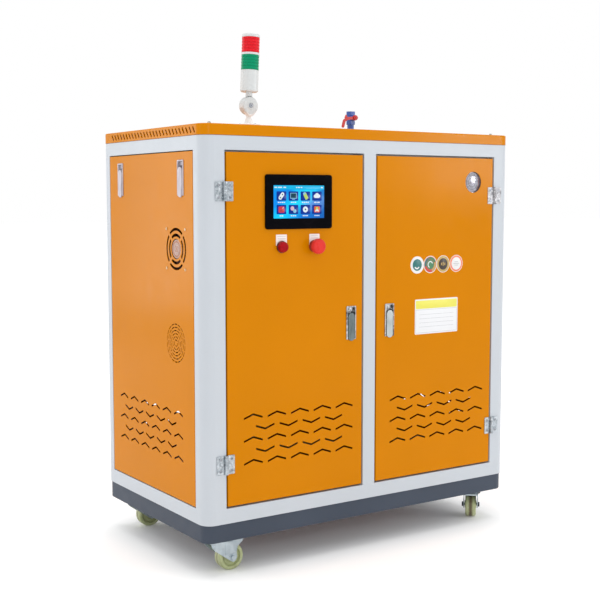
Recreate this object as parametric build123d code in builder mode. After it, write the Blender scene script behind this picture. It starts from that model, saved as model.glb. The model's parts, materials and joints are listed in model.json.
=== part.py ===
from build123d import *
import os
from math import atan2, cos, degrees, hypot, radians, sin

# ----------------------------------------------------------------------
# Driving dimensions, millimetres.  +X right, front faces -Y, +Z up.
# The origin is on the floor under the centre of the outer box.
# ----------------------------------------------------------------------
BODY_W = 1060.0          # cabinet width
BODY_D = 613.0           # cabinet depth
CORNER_R = 33.0          # vertical corner radius of the frame
CLEAR_H = 95.0           # floor to underside of the base, caster height
BASE_H = 48.6            # dark base skirt
BASE_TOP = CLEAR_H + BASE_H
OPEN_BOT = 183.5         # lower edge of the door openings
OPEN_TOP = 1116.5        # upper edge of the door openings
FRAME_TOP = 1154.0       # underside of the roof cap
ROOF_TOP = 1182.5
SHEET = 2.0              # frame sheet
SKIN = 1.5               # door and panel sheet
FOLD = 25.0              # depth of the frame's returns
LIP = 14.0               # width of the stop lips

POST_X = 63.5            # face width of a corner post, front and rear
POST_Y = 50.5            # face width of a corner post on the sides
MULL_X0, MULL_X1 = 508.5, 549.5
DOOR_GAP = 5.0
DOOR_T = 18.0
PANEL_GAP = 2.5
PANEL_T = 15.0

STOP_PROUD = 30.0        # mushroom head in front of the door
LATCH_PROUD = 4.5        # latch paddle in front of its sheet

YF = -(BODY_D + LATCH_PROUD - STOP_PROUD) / 2     # front face of the doors
YC = YF + BODY_D / 2
YB = YF + BODY_D
XH = BODY_W / 2
ZC = (OPEN_BOT + OPEN_TOP) / 2


def fx(x):
    """Distance from the left corner, as an X coordinate."""
    return x - XH


def fy(y):
    """Distance behind the front face, as a Y coordinate."""
    return YF + y


# Planes that lie on the four faces, x to the right as seen from outside,
# y up, normal outwards; d is the depth behind the face.
def front(x, z, d=0.0):
    return Plane(origin=(x, YF + d, z), x_dir=(1, 0, 0), z_dir=(0, -1, 0))


def rear(x, z, d=0.0):
    return Plane(origin=(x, YB - d, z), x_dir=(-1, 0, 0), z_dir=(0, 1, 0))


def left(y, z, d=0.0):
    return Plane(origin=(-XH + d, y, z), x_dir=(0, -1, 0), z_dir=(-1, 0, 0))


def right(y, z, d=0.0):
    return Plane(origin=(XH - d, y, z), x_dir=(0, 1, 0), z_dir=(1, 0, 0))


# Ventilation chevrons
CHEV_RISE = 10.0
CHEV_BAR = 5.0
UP_ROWS = (416.0, 355.0, 294.0)      # heights of the ends of the rows that point up
DOWN_ROWS = (393.7, 332.6)           # rows that point down


def chevron(width, rise):
    h = CHEV_BAR / 2
    return [(-width / 2, -h), (0, rise - h), (width / 2, -h),
            (width / 2, h), (0, rise + h), (-width / 2, h)]


CHEV_UP = chevron(58.0, CHEV_RISE)
CHEV_DOWN = chevron(58.0, -CHEV_RISE)
SIDE_UP = chevron(50.5, CHEV_RISE)
SIDE_DOWN = chevron(50.5, -CHEV_RISE)

# Latches
LATCH_W, LATCH_H = 33.0, 93.0
LATCH_CUT_W, LATCH_CUT_H = 29.6, 89.6
DOOR_LATCH_Z = 649.5
SIDE_LATCH_Z = 1046.5
PIVOT_D, PIVOT_Z = 2.0, 22.0         # paddle pivot: behind the face, above the middle

# Doors
LDOOR_X = fx((POST_X + MULL_X0) / 2)
LDOOR_W = MULL_X0 - POST_X - 2 * DOOR_GAP
RDOOR_X = fx((MULL_X1 + BODY_W - POST_X) / 2)
RDOOR_W = BODY_W - POST_X - MULL_X1 - 2 * DOOR_GAP
DOOR_H = OPEN_TOP - OPEN_BOT - 2 * DOOR_GAP
L_LATCH_X = fx(464.5)
R_LATCH_X = fx(599.5)
SCREEN_X, SCREEN_Z = fx(290.0), 984.0
SCREEN_W, SCREEN_H = 212.0, 144.0
LAMP_X, STOP_X, BUTTON_Z = fx(236.0), fx(340.0), 865.0
GAUGE_X, GAUGE_Z, GAUGE_R = fx(914.0), 1041.0, 31.0

# Hinges
HINGE_H = 50.0
KNUCKLE_R = 5.0
PIN_R = 2.5
HINGE_X = 62.0
LEFT_HINGE_Z = (1011.0, 301.0)
RIGHT_HINGE_Z = (1001.5, 301.0)

# Side panels
PANEL_W = BODY_D - 2 * POST_Y - 2 * PANEL_GAP
PANEL_H = OPEN_TOP - OPEN_BOT - 2 * PANEL_GAP
SIDE_LATCH_Y = (fy(117.5), fy(485.5))
FAN_Y, FAN_Z = fy(148.0), 860.0
VENT_Y, VENT_Z = fy(154.0), 609.0

# Signal tower
TOWER_X, TOWER_Y = fx(172.0), fy(60.0)
KNUCKLE_H = 53.0
TOWER_R = 23.4
LEAN = radians(2.65)                 # the tower rests a little out of plumb, towards +X

# Valve
VALVE_X, VALVE_Y = fx(755.0), fy(400.0)
VALVE_H = 64.0

# Casters: swivel axis, and the way the wheel trails in plan
TRAIL = 20.0
WHEEL_R = 37.0
CASTERS = {
    "front_left": (fx(84.0), fy(60.0), 0.0),
    "front_right": (fx(976.0), fy(60.0), 47.3),
    "rear_left": (fx(84.0), fy(547.0), 0.0),
    "rear_right": (fx(976.0), fy(547.0), 20.0),
}

os.makedirs("parts", exist_ok=True)


def save(block, label):
    block.part.label = label
    export_step(block.part, f"parts/{label}.step")


# ----------------------------------------------------------------------
# Base skirt with caster flange, and the floor pan
# ----------------------------------------------------------------------
with BuildPart() as base_frame:
    with BuildSketch(Plane.XY.offset(CLEAR_H)):
        with Locations((0, YC)):
            RectangleRounded(BODY_W - 6, BODY_D - 6, CORNER_R - 3)
    extrude(amount=BASE_H)
    fillet(base_frame.faces().sort_by(Axis.Z)[0].edges(), radius=2.0)
    with BuildSketch(Plane.XY.offset(CLEAR_H + 3)):
        with Locations((0, YC)):
            RectangleRounded(BODY_W - 12, BODY_D - 12, CORNER_R - 6)
    extrude(amount=BASE_H - 3, mode=Mode.SUBTRACT)
    # opening inside the caster flange
    with BuildSketch(Plane.XY.offset(CLEAR_H)):
        with Locations((0, YC)):
            RectangleRounded(BODY_W - 270, BODY_D - 236, 12)
    extrude(amount=3, mode=Mode.SUBTRACT)
    # top flange that carries the frame and the floor pan
    with BuildSketch(Plane.XY.offset(BASE_TOP - 2)):
        with Locations((0, YC)):
            RectangleRounded(BODY_W - 2, BODY_D - 2, CORNER_R - 1)
            RectangleRounded(BODY_W - 60, BODY_D - 60, 6, mode=Mode.SUBTRACT)
    extrude(amount=2)
save(base_frame, "base_frame")

with BuildPart() as floor_pan:
    with BuildSketch(Plane.XY.offset(BASE_TOP)):
        with Locations((0, YC)):
            RectangleRounded(BODY_W - 10, BODY_D - 10, CORNER_R - 5)
    extrude(amount=2)
save(floor_pan, "floor_pan")

# ----------------------------------------------------------------------
# White frame: bottom ring, top ring, corner posts, mullions
# ----------------------------------------------------------------------
LIP_BARS_X = ((78.0, 494.0), (564.0, 982.0))


def lip_bars():
    """Plan rectangles of the stop lips along the rings: centre, length, width."""
    bars = []
    for x0, x1 in LIP_BARS_X:
        for y in (YF + FOLD - 1, YB - FOLD + 1):
            bars.append((fx((x0 + x1) / 2), y, x1 - x0, 2.0))
    for x in (-XH + FOLD - 1, XH - FOLD + 1):
        bars.append((x, YC, 2.0, BODY_D - 130.0))
    return bars


with BuildPart() as lower_frame:
    with BuildSketch(Plane.XY.offset(BASE_TOP)):
        with Locations((0, YC)):
            RectangleRounded(BODY_W, BODY_D, CORNER_R)
            RectangleRounded(BODY_W - 2 * SHEET, BODY_D - 2 * SHEET, CORNER_R - SHEET, mode=Mode.SUBTRACT)
    extrude(amount=OPEN_BOT - BASE_TOP)
    with BuildSketch(Plane.XY.offset(OPEN_BOT - SHEET)):
        with Locations((0, YC)):
            RectangleRounded(BODY_W - SHEET, BODY_D - SHEET, CORNER_R - 1)
            RectangleRounded(BODY_W - 2 * FOLD, BODY_D - 2 * FOLD, 8, mode=Mode.SUBTRACT)
    extrude(amount=SHEET)
    with BuildSketch(Plane.XY.offset(OPEN_BOT - SHEET)):
        for cx, cy, lx, ly in lip_bars():
            with Locations((cx, cy)):
                Rectangle(lx, ly)
    extrude(amount=SHEET + LIP)
save(lower_frame, "lower_frame")

with BuildPart() as upper_frame:
    with BuildSketch(Plane.XY.offset(OPEN_TOP)):
        with Locations((0, YC)):
            RectangleRounded(BODY_W, BODY_D, CORNER_R)
            RectangleRounded(BODY_W - 2 * SHEET, BODY_D - 2 * SHEET, CORNER_R - SHEET, mode=Mode.SUBTRACT)
    extrude(amount=FRAME_TOP - OPEN_TOP)
    for z in (OPEN_TOP, FRAME_TOP - SHEET):
        with BuildSketch(Plane.XY.offset(z)):
            with Locations((0, YC)):
                RectangleRounded(BODY_W - SHEET, BODY_D - SHEET, CORNER_R - 1)
                RectangleRounded(BODY_W - 2 * FOLD, BODY_D - 2 * FOLD, 8, mode=Mode.SUBTRACT)
        extrude(amount=SHEET)
    with BuildSketch(Plane.XY.offset(OPEN_TOP - LIP)):
        for cx, cy, lx, ly in lip_bars():
            with Locations((cx, cy)):
                Rectangle(lx, ly)
    extrude(amount=SHEET + LIP)
save(upper_frame, "upper_frame")

with BuildPart() as corner_posts:
    with BuildSketch(Plane.XY.offset(OPEN_BOT)):
        with Locations((0, YC)):
            RectangleRounded(BODY_W, BODY_D, CORNER_R)
            RectangleRounded(BODY_W - 2 * SHEET, BODY_D - 2 * SHEET, CORNER_R - SHEET, mode=Mode.SUBTRACT)
            Rectangle(BODY_W - 2 * POST_X, BODY_D + 10, mode=Mode.SUBTRACT)
            Rectangle(BODY_W + 10, BODY_D - 2 * POST_Y, mode=Mode.SUBTRACT)
        for sx in (-1, 1):
            for sy in (-1, 1):
                # return and stop lip beside the door, then beside the side panel
                with Locations((sx * (XH - POST_X + 1), YC + sy * (BODY_D / 2 - FOLD / 2))):
                    Rectangle(SHEET, FOLD)
                with Locations((sx * (XH - POST_X - LIP / 2 + 1), YC + sy * (BODY_D / 2 - FOLD + 1))):
                    Rectangle(LIP + 2, SHEET)
                with Locations((sx * (XH - FOLD / 2), YC + sy * (BODY_D / 2 - POST_Y + 1))):
                    Rectangle(FOLD, SHEET)
                with Locations((sx * (XH - FOLD + 1), YC + sy * (BODY_D / 2 - POST_Y - LIP / 2 + 1))):
                    Rectangle(SHEET, LIP + 2)
    extrude(amount=OPEN_TOP - OPEN_BOT)
save(corner_posts, "corner_posts")

with BuildPart() as mullions:
    with BuildSketch(Plane.XY.offset(OPEN_BOT)):
        for sy, yface in ((1, YF), (-1, YB)):
            xm = fx((MULL_X0 + MULL_X1) / 2)
            wm = MULL_X1 - MULL_X0
            with Locations((xm, yface + sy * SHEET / 2)):
                Rectangle(wm, SHEET)
            for sx in (-1, 1):
                with Locations((xm + sx * (wm / 2 - 1), yface + sy * FOLD / 2)):
                    Rectangle(SHEET, FOLD)
                with Locations((xm + sx * (wm / 2 + LIP / 2 - 1), yface + sy * (FOLD - 1))):
                    Rectangle(LIP + 2, SHEET)
    extrude(amount=OPEN_TOP - OPEN_BOT)
save(mullions, "mullions")

# ----------------------------------------------------------------------
# Roof cap with slanted air slots in both side skirts
# ----------------------------------------------------------------------
CAP_H = ROOF_TOP - FRAME_TOP
SLOT_YS = [fy(44.0 + 18.9 * k) for k in range(27)]

with BuildPart() as roof_cap:
    with BuildSketch(Plane.XY.offset(FRAME_TOP)):
        with Locations((0, YC)):
            RectangleRounded(BODY_W + 2, BODY_D + 2, CORNER_R + 1)
    extrude(amount=CAP_H)
    fillet(roof_cap.faces().sort_by(Axis.Z)[-1].edges(), radius=3.5)
    with BuildSketch(Plane.XY.offset(FRAME_TOP)):
        with Locations((0, YC)):
            RectangleRounded(BODY_W - 2, BODY_D - 2, CORNER_R - 1)
    extrude(amount=CAP_H - 2, mode=Mode.SUBTRACT)
    with BuildSketch(Plane.YZ.offset(-XH - 5)):
        with Locations(*[(y, FRAME_TOP + 13.2) for y in SLOT_YS]):
            SlotOverall(20.0, 6.0, rotation=55.0)
    extrude(amount=10, mode=Mode.SUBTRACT)
    with BuildSketch(Plane.YZ.offset(XH - 5)):
        with Locations(*[(y, FRAME_TOP + 13.2) for y in SLOT_YS]):
            SlotOverall(20.0, 6.0, rotation=55.0)
    extrude(amount=10, mode=Mode.SUBTRACT)
save(roof_cap, "roof_cap")

# ----------------------------------------------------------------------
# Side panels
# ----------------------------------------------------------------------
SIDE_UP_Y = [fy(144.0 + 67.7 * k) for k in range(6)]
SIDE_DOWN_Y = [fy(181.5 + 67.25 * k) for k in range(5)]

with BuildPart() as left_panel:
    with BuildSketch(left(YC, ZC)):
        Rectangle(PANEL_W, PANEL_H)
    extrude(amount=-PANEL_T)
    fillet(left_panel.faces().sort_by(Axis.X)[0].edges(), radius=1.4)
    with BuildSketch(left(YC, ZC, SKIN)):
        Rectangle(PANEL_W - 2 * SKIN, PANEL_H - 2 * SKIN)
    extrude(amount=-PANEL_T, mode=Mode.SUBTRACT)
    with BuildSketch(left(YC, ZC)):
        with Locations(*[(YC - y, z - ZC) for y in SIDE_UP_Y for z in UP_ROWS]):
            Polygon(*SIDE_UP, align=None)
        with Locations(*[(YC - y, z - ZC) for y in SIDE_DOWN_Y for z in DOWN_ROWS]):
            Polygon(*SIDE_DOWN, align=None)
        with Locations(*[(YC - y, SIDE_LATCH_Z - ZC) for y in SIDE_LATCH_Y]):
            Rectangle(LATCH_CUT_W, LATCH_CUT_H)
    extrude(amount=-6, mode=Mode.SUBTRACT)
    # fan guard: two broken rings and a round hole for the hub
    with BuildSketch(left(FAN_Y, FAN_Z)):
        Circle(56.0)
        Circle(48.5, mode=Mode.SUBTRACT)
        Circle(41.0)
        Circle(33.0, mode=Mode.SUBTRACT)
        Rectangle(8.0, 130.0, rotation=45, mode=Mode.SUBTRACT)
        Rectangle(8.0, 130.0, rotation=-45, mode=Mode.SUBTRACT)
        Circle(27.0)
        with GridLocations(105, 105, 2, 2):
            Circle(2.25)
    extrude(amount=-6, mode=Mode.SUBTRACT)
    # round vent: six rings of slots with narrow bridges
    for ring in range(1, 7):
        with BuildSketch(left(VENT_Y, VENT_Z)):
            Circle(8.5 * ring + 1.4)
            Circle(8.5 * ring - 1.4, mode=Mode.SUBTRACT)
            with PolarLocations(8.5 * ring, 3 * ring, start_angle=20.0 * ring):
                Rectangle(6.0, 3.6, mode=Mode.SUBTRACT)
        extrude(amount=-6, mode=Mode.SUBTRACT)
save(left_panel, "left_panel")

with BuildPart() as right_panel:
    with BuildSketch(right(YC, ZC)):
        Rectangle(PANEL_W, PANEL_H)
    extrude(amount=-PANEL_T)
    fillet(right_panel.faces().sort_by(Axis.X)[-1].edges(), radius=1.4)
    with BuildSketch(right(YC, ZC, SKIN)):
        Rectangle(PANEL_W - 2 * SKIN, PANEL_H - 2 * SKIN)
    extrude(amount=-PANEL_T, mode=Mode.SUBTRACT)
    with BuildSketch(right(YC, ZC)):
        with Locations(*[(y - YC, z - ZC) for y in SIDE_UP_Y for z in UP_ROWS]):
            Polygon(*SIDE_UP, align=None)
        with Locations(*[(y - YC, z - ZC) for y in SIDE_DOWN_Y for z in DOWN_ROWS]):
            Polygon(*SIDE_DOWN, align=None)
        with Locations(*[(y - YC, SIDE_LATCH_Z - ZC) for y in SIDE_LATCH_Y]):
            Rectangle(LATCH_CUT_W, LATCH_CUT_H)
    extrude(amount=-6, mode=Mode.SUBTRACT)
save(right_panel, "right_panel")

# ----------------------------------------------------------------------
# Rear panels, plain repeats of the door bays
# ----------------------------------------------------------------------
BAYS = ((POST_X, MULL_X0), (MULL_X1, BODY_W - POST_X))
REAR_LATCH_X = [fx((a + b) / 2) + s * 150.0 for a, b in BAYS for s in (-1, 1)]

with BuildPart() as rear_panels:
    for a, b in BAYS:
        with BuildSketch(rear(fx((a + b) / 2), ZC)):
            Rectangle(b - a - 2 * PANEL_GAP, PANEL_H)
        extrude(amount=-PANEL_T)
    fillet([e for f in rear_panels.faces().group_by(Axis.Y)[-1] for e in f.edges()], radius=1.4)
    for a, b in BAYS:
        with BuildSketch(rear(fx((a + b) / 2), ZC, SKIN)):
            Rectangle(b - a - 2 * PANEL_GAP - 2 * SKIN, PANEL_H - 2 * SKIN)
        extrude(amount=-PANEL_T, mode=Mode.SUBTRACT)
        with BuildSketch(rear(fx((a + b) / 2), ZC)):
            with Locations(*[(74.0 * k - 148.0, z - ZC) for k in range(5) for z in UP_ROWS]):
                Polygon(*CHEV_UP, align=None)
            with Locations(*[(74.0 * k - 111.0, z - ZC) for k in range(4) for z in DOWN_ROWS]):
                Polygon(*CHEV_DOWN, align=None)
            with Locations((-150.0, SIDE_LATCH_Z - ZC), (150.0, SIDE_LATCH_Z - ZC)):
                Rectangle(LATCH_CUT_W, LATCH_CUT_H)
        extrude(amount=-6, mode=Mode.SUBTRACT)
save(rear_panels, "rear_panels")

# ----------------------------------------------------------------------
# Doors
# ----------------------------------------------------------------------
with BuildPart() as left_door:
    with BuildSketch(front(LDOOR_X, ZC)):
        Rectangle(LDOOR_W, DOOR_H)
    extrude(amount=-DOOR_T)
    fillet(left_door.faces().sort_by(Axis.Y)[0].edges(), radius=1.4)
    with BuildSketch(front(LDOOR_X, ZC, SKIN)):
        Rectangle(LDOOR_W - 2 * SKIN, DOOR_H - 2 * SKIN)
    extrude(amount=-DOOR_T, mode=Mode.SUBTRACT)
    with BuildSketch(front(LDOOR_X, ZC)):
        with Locations(*[(fx(146.5 + 74.0 * k) - LDOOR_X, z - ZC) for k in range(5) for z in UP_ROWS]):
            Polygon(*CHEV_UP, align=None)
        with Locations(*[(fx(183.7 + 74.2 * k) - LDOOR_X, z - ZC) for k in range(4) for z in DOWN_ROWS]):
            Polygon(*CHEV_DOWN, align=None)
        with Locations((L_LATCH_X - LDOOR_X, DOOR_LATCH_Z - ZC)):
            Rectangle(LATCH_CUT_W, LATCH_CUT_H)
        with Locations((SCREEN_X - LDOOR_X, SCREEN_Z - ZC)):
            Rectangle(194.0, 126.0)
        with Locations((LAMP_X - LDOOR_X, BUTTON_Z - ZC), (STOP_X - LDOOR_X, BUTTON_Z - ZC)):
            Circle(11.3)
    extrude(amount=-6, mode=Mode.SUBTRACT)
save(left_door, "left_door")

with BuildPart() as right_door:
    with BuildSketch(front(RDOOR_X, ZC)):
        Rectangle(RDOOR_W, DOOR_H)
    extrude(amount=-DOOR_T)
    fillet(right_door.faces().sort_by(Axis.Y)[0].edges(), radius=1.4)
    with BuildSketch(front(RDOOR_X, ZC, SKIN)):
        Rectangle(RDOOR_W - 2 * SKIN, DOOR_H - 2 * SKIN)
    extrude(amount=-DOOR_T, mode=Mode.SUBTRACT)
    with BuildSketch(front(RDOOR_X, ZC)):
        with Locations(*[(fx(633.0 + 74.7 * k) - RDOOR_X, z - ZC) for k in range(5) for z in UP_ROWS]):
            Polygon(*CHEV_UP, align=None)
        with Locations(*[(fx(659.0 + 75.0 * k) - RDOOR_X, z - ZC) for k in range(4) for z in DOWN_ROWS]):
            Polygon(*CHEV_DOWN, align=None)
        with Locations((R_LATCH_X - RDOOR_X, DOOR_LATCH_Z - ZC)):
            Rectangle(LATCH_CUT_W, LATCH_CUT_H)
        with Locations((GAUGE_X - RDOOR_X, GAUGE_Z - ZC)):
            Circle(GAUGE_R)
    extrude(amount=-6, mode=Mode.SUBTRACT)
save(right_door, "right_door")

# ----------------------------------------------------------------------
# Hinges: a shape for each leaf about its knuckle axis, then the placed leaves
# ----------------------------------------------------------------------
SEG = HINGE_H / 6            # half of the middle knuckle

with BuildPart() as post_leaf_shape:
    with BuildSketch(Plane.XZ.offset(-5.0)):
        with Locations((-16.25, 0)):
            RectangleRounded(21.5, HINGE_H, 2.0)
        with Locations((-3.0, (SEG + HINGE_H / 2 + 0.5) / 2), (-3.0, -(SEG + HINGE_H / 2 + 0.5) / 2)):
            Rectangle(6.0, HINGE_H / 2 - SEG - 0.5)
    extrude(amount=2.0)
    with BuildSketch(Plane.XY.offset(-HINGE_H / 2)):
        Circle(KNUCKLE_R)
    extrude(amount=HINGE_H / 2 - SEG - 0.5)
    with BuildSketch(Plane.XY.offset(SEG + 0.5)):
        Circle(KNUCKLE_R)
    extrude(amount=HINGE_H / 2 - SEG - 0.5)
    with BuildSketch(Plane.XY.offset(-HINGE_H / 2)):
        Circle(PIN_R)
    extrude(amount=HINGE_H)

with BuildPart() as door_leaf_shape:
    with BuildSketch(Plane.XZ.offset(-5.0)):
        with Locations((15.75, 0)):
            RectangleRounded(20.5, HINGE_H, 2.0)
        with Locations((3.5, 0)):
            Rectangle(7.0, 2 * SEG)
    extrude(amount=2.0)
    with BuildSketch(Plane.XY.offset(-SEG)):
        Circle(KNUCKLE_R)
    extrude(amount=2 * SEG)
    with BuildSketch(Plane.XY.offset(-SEG)):
        Circle(PIN_R + 0.05)
    extrude(amount=2 * SEG, mode=Mode.SUBTRACT)

post_leaf_right = mirror(post_leaf_shape.part, about=Plane.YZ, mode=Mode.PRIVATE)
door_leaf_right = mirror(door_leaf_shape.part, about=Plane.YZ, mode=Mode.PRIVATE)

with BuildPart() as hinge_post_leaves:
    with Locations(*[(fx(HINGE_X), YF - KNUCKLE_R, z) for z in LEFT_HINGE_Z]):
        add(post_leaf_shape.part)
    with Locations(*[(-fx(HINGE_X), YF - KNUCKLE_R, z) for z in RIGHT_HINGE_Z]):
        add(post_leaf_right)
save(hinge_post_leaves, "hinge_post_leaves")

with BuildPart() as left_door_hinge_leaves:
    with Locations(*[(fx(HINGE_X), YF - KNUCKLE_R, z) for z in LEFT_HINGE_Z]):
        add(door_leaf_shape.part)
save(left_door_hinge_leaves, "left_door_hinge_leaves")

with BuildPart() as right_door_hinge_leaves:
    with Locations(*[(-fx(HINGE_X), YF - KNUCKLE_R, z) for z in RIGHT_HINGE_Z]):
        add(door_leaf_right)
save(right_door_hinge_leaves, "right_door_hinge_leaves")

# ----------------------------------------------------------------------
# Latches: a flush pan with a raised rim, a push block and a pivoting paddle.
# Their shapes are made on the XZ plane, outwards to -Y.
# ----------------------------------------------------------------------
with BuildPart() as latch_pan_shape:
    with BuildSketch(Plane.XZ):
        RectangleRounded(LATCH_W, LATCH_H, 2.5)
    extrude(amount=3.0)
    chamfer(latch_pan_shape.faces().sort_by(Axis.Y)[0].edges(), length=0.8)
    with BuildSketch(Plane.XZ):
        Rectangle(29.0, 89.0)
    extrude(amount=-14.0)
    with BuildSketch(Plane.XZ.offset(3.0)):
        Rectangle(26.0, 86.0)
    extrude(amount=-15.5, mode=Mode.SUBTRACT)
    # the rim is low at the bottom, where the paddle's tongue passes over it
    with BuildSketch(Plane.XZ.offset(1.0)):
        with Locations((0, -46.0)):
            Rectangle(26.0, 10.0)
    extrude(amount=3.0, mode=Mode.SUBTRACT)
    # push block at the top and the pivot pin
    with BuildSketch(Plane.XZ.offset(-4.0)):
        with Locations((0, 37.0)):
            RectangleRounded(21.0, 9.5, 1.5)
    extrude(amount=-9.5)
    with BuildSketch(Plane.YZ.offset(-13.5)):
        with Locations((PIVOT_D, PIVOT_Z)):
            Circle(1.5)
    extrude(amount=27.0)

with BuildPart() as paddle_shape:
    with BuildSketch(Plane.XZ.offset(1.5)):
        with Locations((0, -11.25)):
            SlotOverall(78.5, 22.0, rotation=90)
    extrude(amount=3.0)
    fillet(paddle_shape.faces().sort_by(Axis.Y)[0].edges(), radius=1.2)
    with BuildSketch(Plane.YZ.offset(-4.0)):
        with Locations((1.5, PIVOT_Z)):
            Rectangle(7.0, 8.0)
        with Locations((PIVOT_D, PIVOT_Z)):
            Circle(1.55, mode=Mode.SUBTRACT)
    extrude(amount=8.0)

with BuildPart() as left_door_latch:
    with Locations((L_LATCH_X, YF, DOOR_LATCH_Z)):
        add(latch_pan_shape.part)
save(left_door_latch, "left_door_latch")

with BuildPart() as left_door_paddle:
    with Locations((L_LATCH_X, YF, DOOR_LATCH_Z)):
        add(paddle_shape.part)
save(left_door_paddle, "left_door_paddle")

with BuildPart() as right_door_latch:
    with Locations((R_LATCH_X, YF, DOOR_LATCH_Z)):
        add(latch_pan_shape.part)
save(right_door_latch, "right_door_latch")

with BuildPart() as right_door_paddle:
    with Locations((R_LATCH_X, YF, DOOR_LATCH_Z)):
        add(paddle_shape.part)
save(right_door_paddle, "right_door_paddle")

with BuildPart() as left_panel_latches:
    with Locations(*[Location((-XH, y, SIDE_LATCH_Z), (0, 0, -90)) for y in SIDE_LATCH_Y]):
        add(latch_pan_shape.part)
save(left_panel_latches, "left_panel_latches")

with BuildPart() as left_panel_front_paddle:
    with Locations(Location((-XH, SIDE_LATCH_Y[0], SIDE_LATCH_Z), (0, 0, -90))):
        add(paddle_shape.part)
save(left_panel_front_paddle, "left_panel_front_paddle")

with BuildPart() as left_panel_rear_paddle:
    with Locations(Location((-XH, SIDE_LATCH_Y[1], SIDE_LATCH_Z), (0, 0, -90))):
        add(paddle_shape.part)
save(left_panel_rear_paddle, "left_panel_rear_paddle")

# one closed latch, pan and paddle together, for the right side and the rear
with BuildPart() as shut_latch_shape:
    add(latch_pan_shape.part)
    add(paddle_shape.part)
    with BuildSketch(Plane.XZ.offset(1.6)):
        with Locations((0, -10.0)):
            Rectangle(10.0, 60.0)
    extrude(amount=-14.5)

with BuildPart() as right_panel_latches:
    with Locations(*[Location((XH, y, SIDE_LATCH_Z), (0, 0, 90)) for y in SIDE_LATCH_Y]):
        add(shut_latch_shape.part)
save(right_panel_latches, "right_panel_latches")

with BuildPart() as rear_panel_latches:
    with Locations(*[Location((x, YB, SIDE_LATCH_Z), (0, 0, 180)) for x in REAR_LATCH_X]):
        add(shut_latch_shape.part)
save(rear_panel_latches, "rear_panel_latches")

# ----------------------------------------------------------------------
# On the left door: touch screen, lamp and mushroom stop button
# ----------------------------------------------------------------------
with BuildPart() as touch_screen:
    with BuildSketch(front(SCREEN_X, SCREEN_Z)):
        RectangleRounded(SCREEN_W, SCREEN_H, 7.0)
    extrude(amount=6.0)
    fillet(touch_screen.faces().sort_by(Axis.Y)[0].edges(), radius=2.0)
    with BuildSketch(front(SCREEN_X, SCREEN_Z)):
        RectangleRounded(190.0, 122.0, 4.0)
    extrude(amount=-36.0)
save(touch_screen, "touch_screen")

with BuildPart() as pilot_lamp:
    with BuildSketch(front(LAMP_X, BUTTON_Z)):
        Circle(16.0)
    extrude(amount=5.0)
    chamfer(pilot_lamp.faces().sort_by(Axis.Y)[0].edges(), length=1.5)
    with BuildSketch(front(LAMP_X, BUTTON_Z)):
        Circle(14.0)
    extrude(amount=16.0)
    fillet(pilot_lamp.faces().sort_by(Axis.Y)[0].edges(), radius=5.0)
    with BuildSketch(front(LAMP_X, BUTTON_Z)):
        Circle(11.0)
    extrude(amount=-40.0)
save(pilot_lamp, "pilot_lamp")

with BuildPart() as stop_collar:
    with BuildSketch(front(STOP_X, BUTTON_Z)):
        Circle(15.0)
    extrude(amount=7.0)
    chamfer(stop_collar.faces().sort_by(Axis.Y)[0].edges(), length=1.5)
    with BuildSketch(front(STOP_X, BUTTON_Z)):
        Circle(11.0)
    extrude(amount=-40.0)
    with BuildSketch(front(STOP_X, BUTTON_Z, -8.0)):
        Circle(7.05)
    extrude(amount=-28.0, mode=Mode.SUBTRACT)
save(stop_collar, "stop_collar")

with BuildPart() as stop_head:
    with BuildSketch(front(STOP_X, BUTTON_Z, -14.0)):
        Circle(20.5)
    extrude(amount=STOP_PROUD - 14.0)
    fillet(stop_head.faces().sort_by(Axis.Y)[0].edges(), radius=6.0)
    chamfer(stop_head.faces().sort_by(Axis.Y)[-1].edges(), length=3.0)
    with BuildSketch(front(STOP_X, BUTTON_Z, -15.0)):
        Circle(7.0)
    extrude(amount=-25.0)
save(stop_head, "stop_head")

# ----------------------------------------------------------------------
# On the right door: the gauge set behind its round hole
# ----------------------------------------------------------------------
with BuildPart() as gauge_case:
    with BuildSketch(front(GAUGE_X, GAUGE_Z, SKIN)):
        Circle(39.5)
        Circle(32.2, mode=Mode.SUBTRACT)
    extrude(amount=-1.5)
    with BuildSketch(front(GAUGE_X, GAUGE_Z, SKIN)):
        Circle(35.5)
        Circle(32.2, mode=Mode.SUBTRACT)
    extrude(amount=-8.0)
    with BuildSketch(front(GAUGE_X, GAUGE_Z, 6.0)):
        Circle(33.0)
    extrude(amount=-34.0)
    with BuildSketch(front(GAUGE_X, GAUGE_Z, 6.0)):
        Circle(30.0)
    extrude(amount=-2.5, mode=Mode.SUBTRACT)
    # hose stub at the back
    with BuildSketch(front(GAUGE_X, GAUGE_Z, 40.0)):
        RegularPolygon(8.0, 6)
    extrude(amount=-12.0)
save(gauge_case, "gauge_case")

# ----------------------------------------------------------------------
# Fan behind the left panel's guard, axis along X
# ----------------------------------------------------------------------
with BuildPart() as fan_housing:
    with BuildSketch(left(FAN_Y, FAN_Z, SKIN)):
        RectangleRounded(119.0, 119.0, 7.0)
        Circle(58.0, mode=Mode.SUBTRACT)
        with GridLocations(105, 105, 2, 2):
            Circle(2.25, mode=Mode.SUBTRACT)
    extrude(amount=-25.0)
    with BuildSketch(left(FAN_Y, FAN_Z, 23.0)):
        Circle(24.0)
        Rectangle(8.0, 120.0)
        Rectangle(120.0, 8.0)
    extrude(amount=-3.5)
    with BuildSketch(left(FAN_Y, FAN_Z, 20.0)):
        Circle(2.05)
    extrude(amount=-8.0, mode=Mode.SUBTRACT)
save(fan_housing, "fan_housing")

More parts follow.
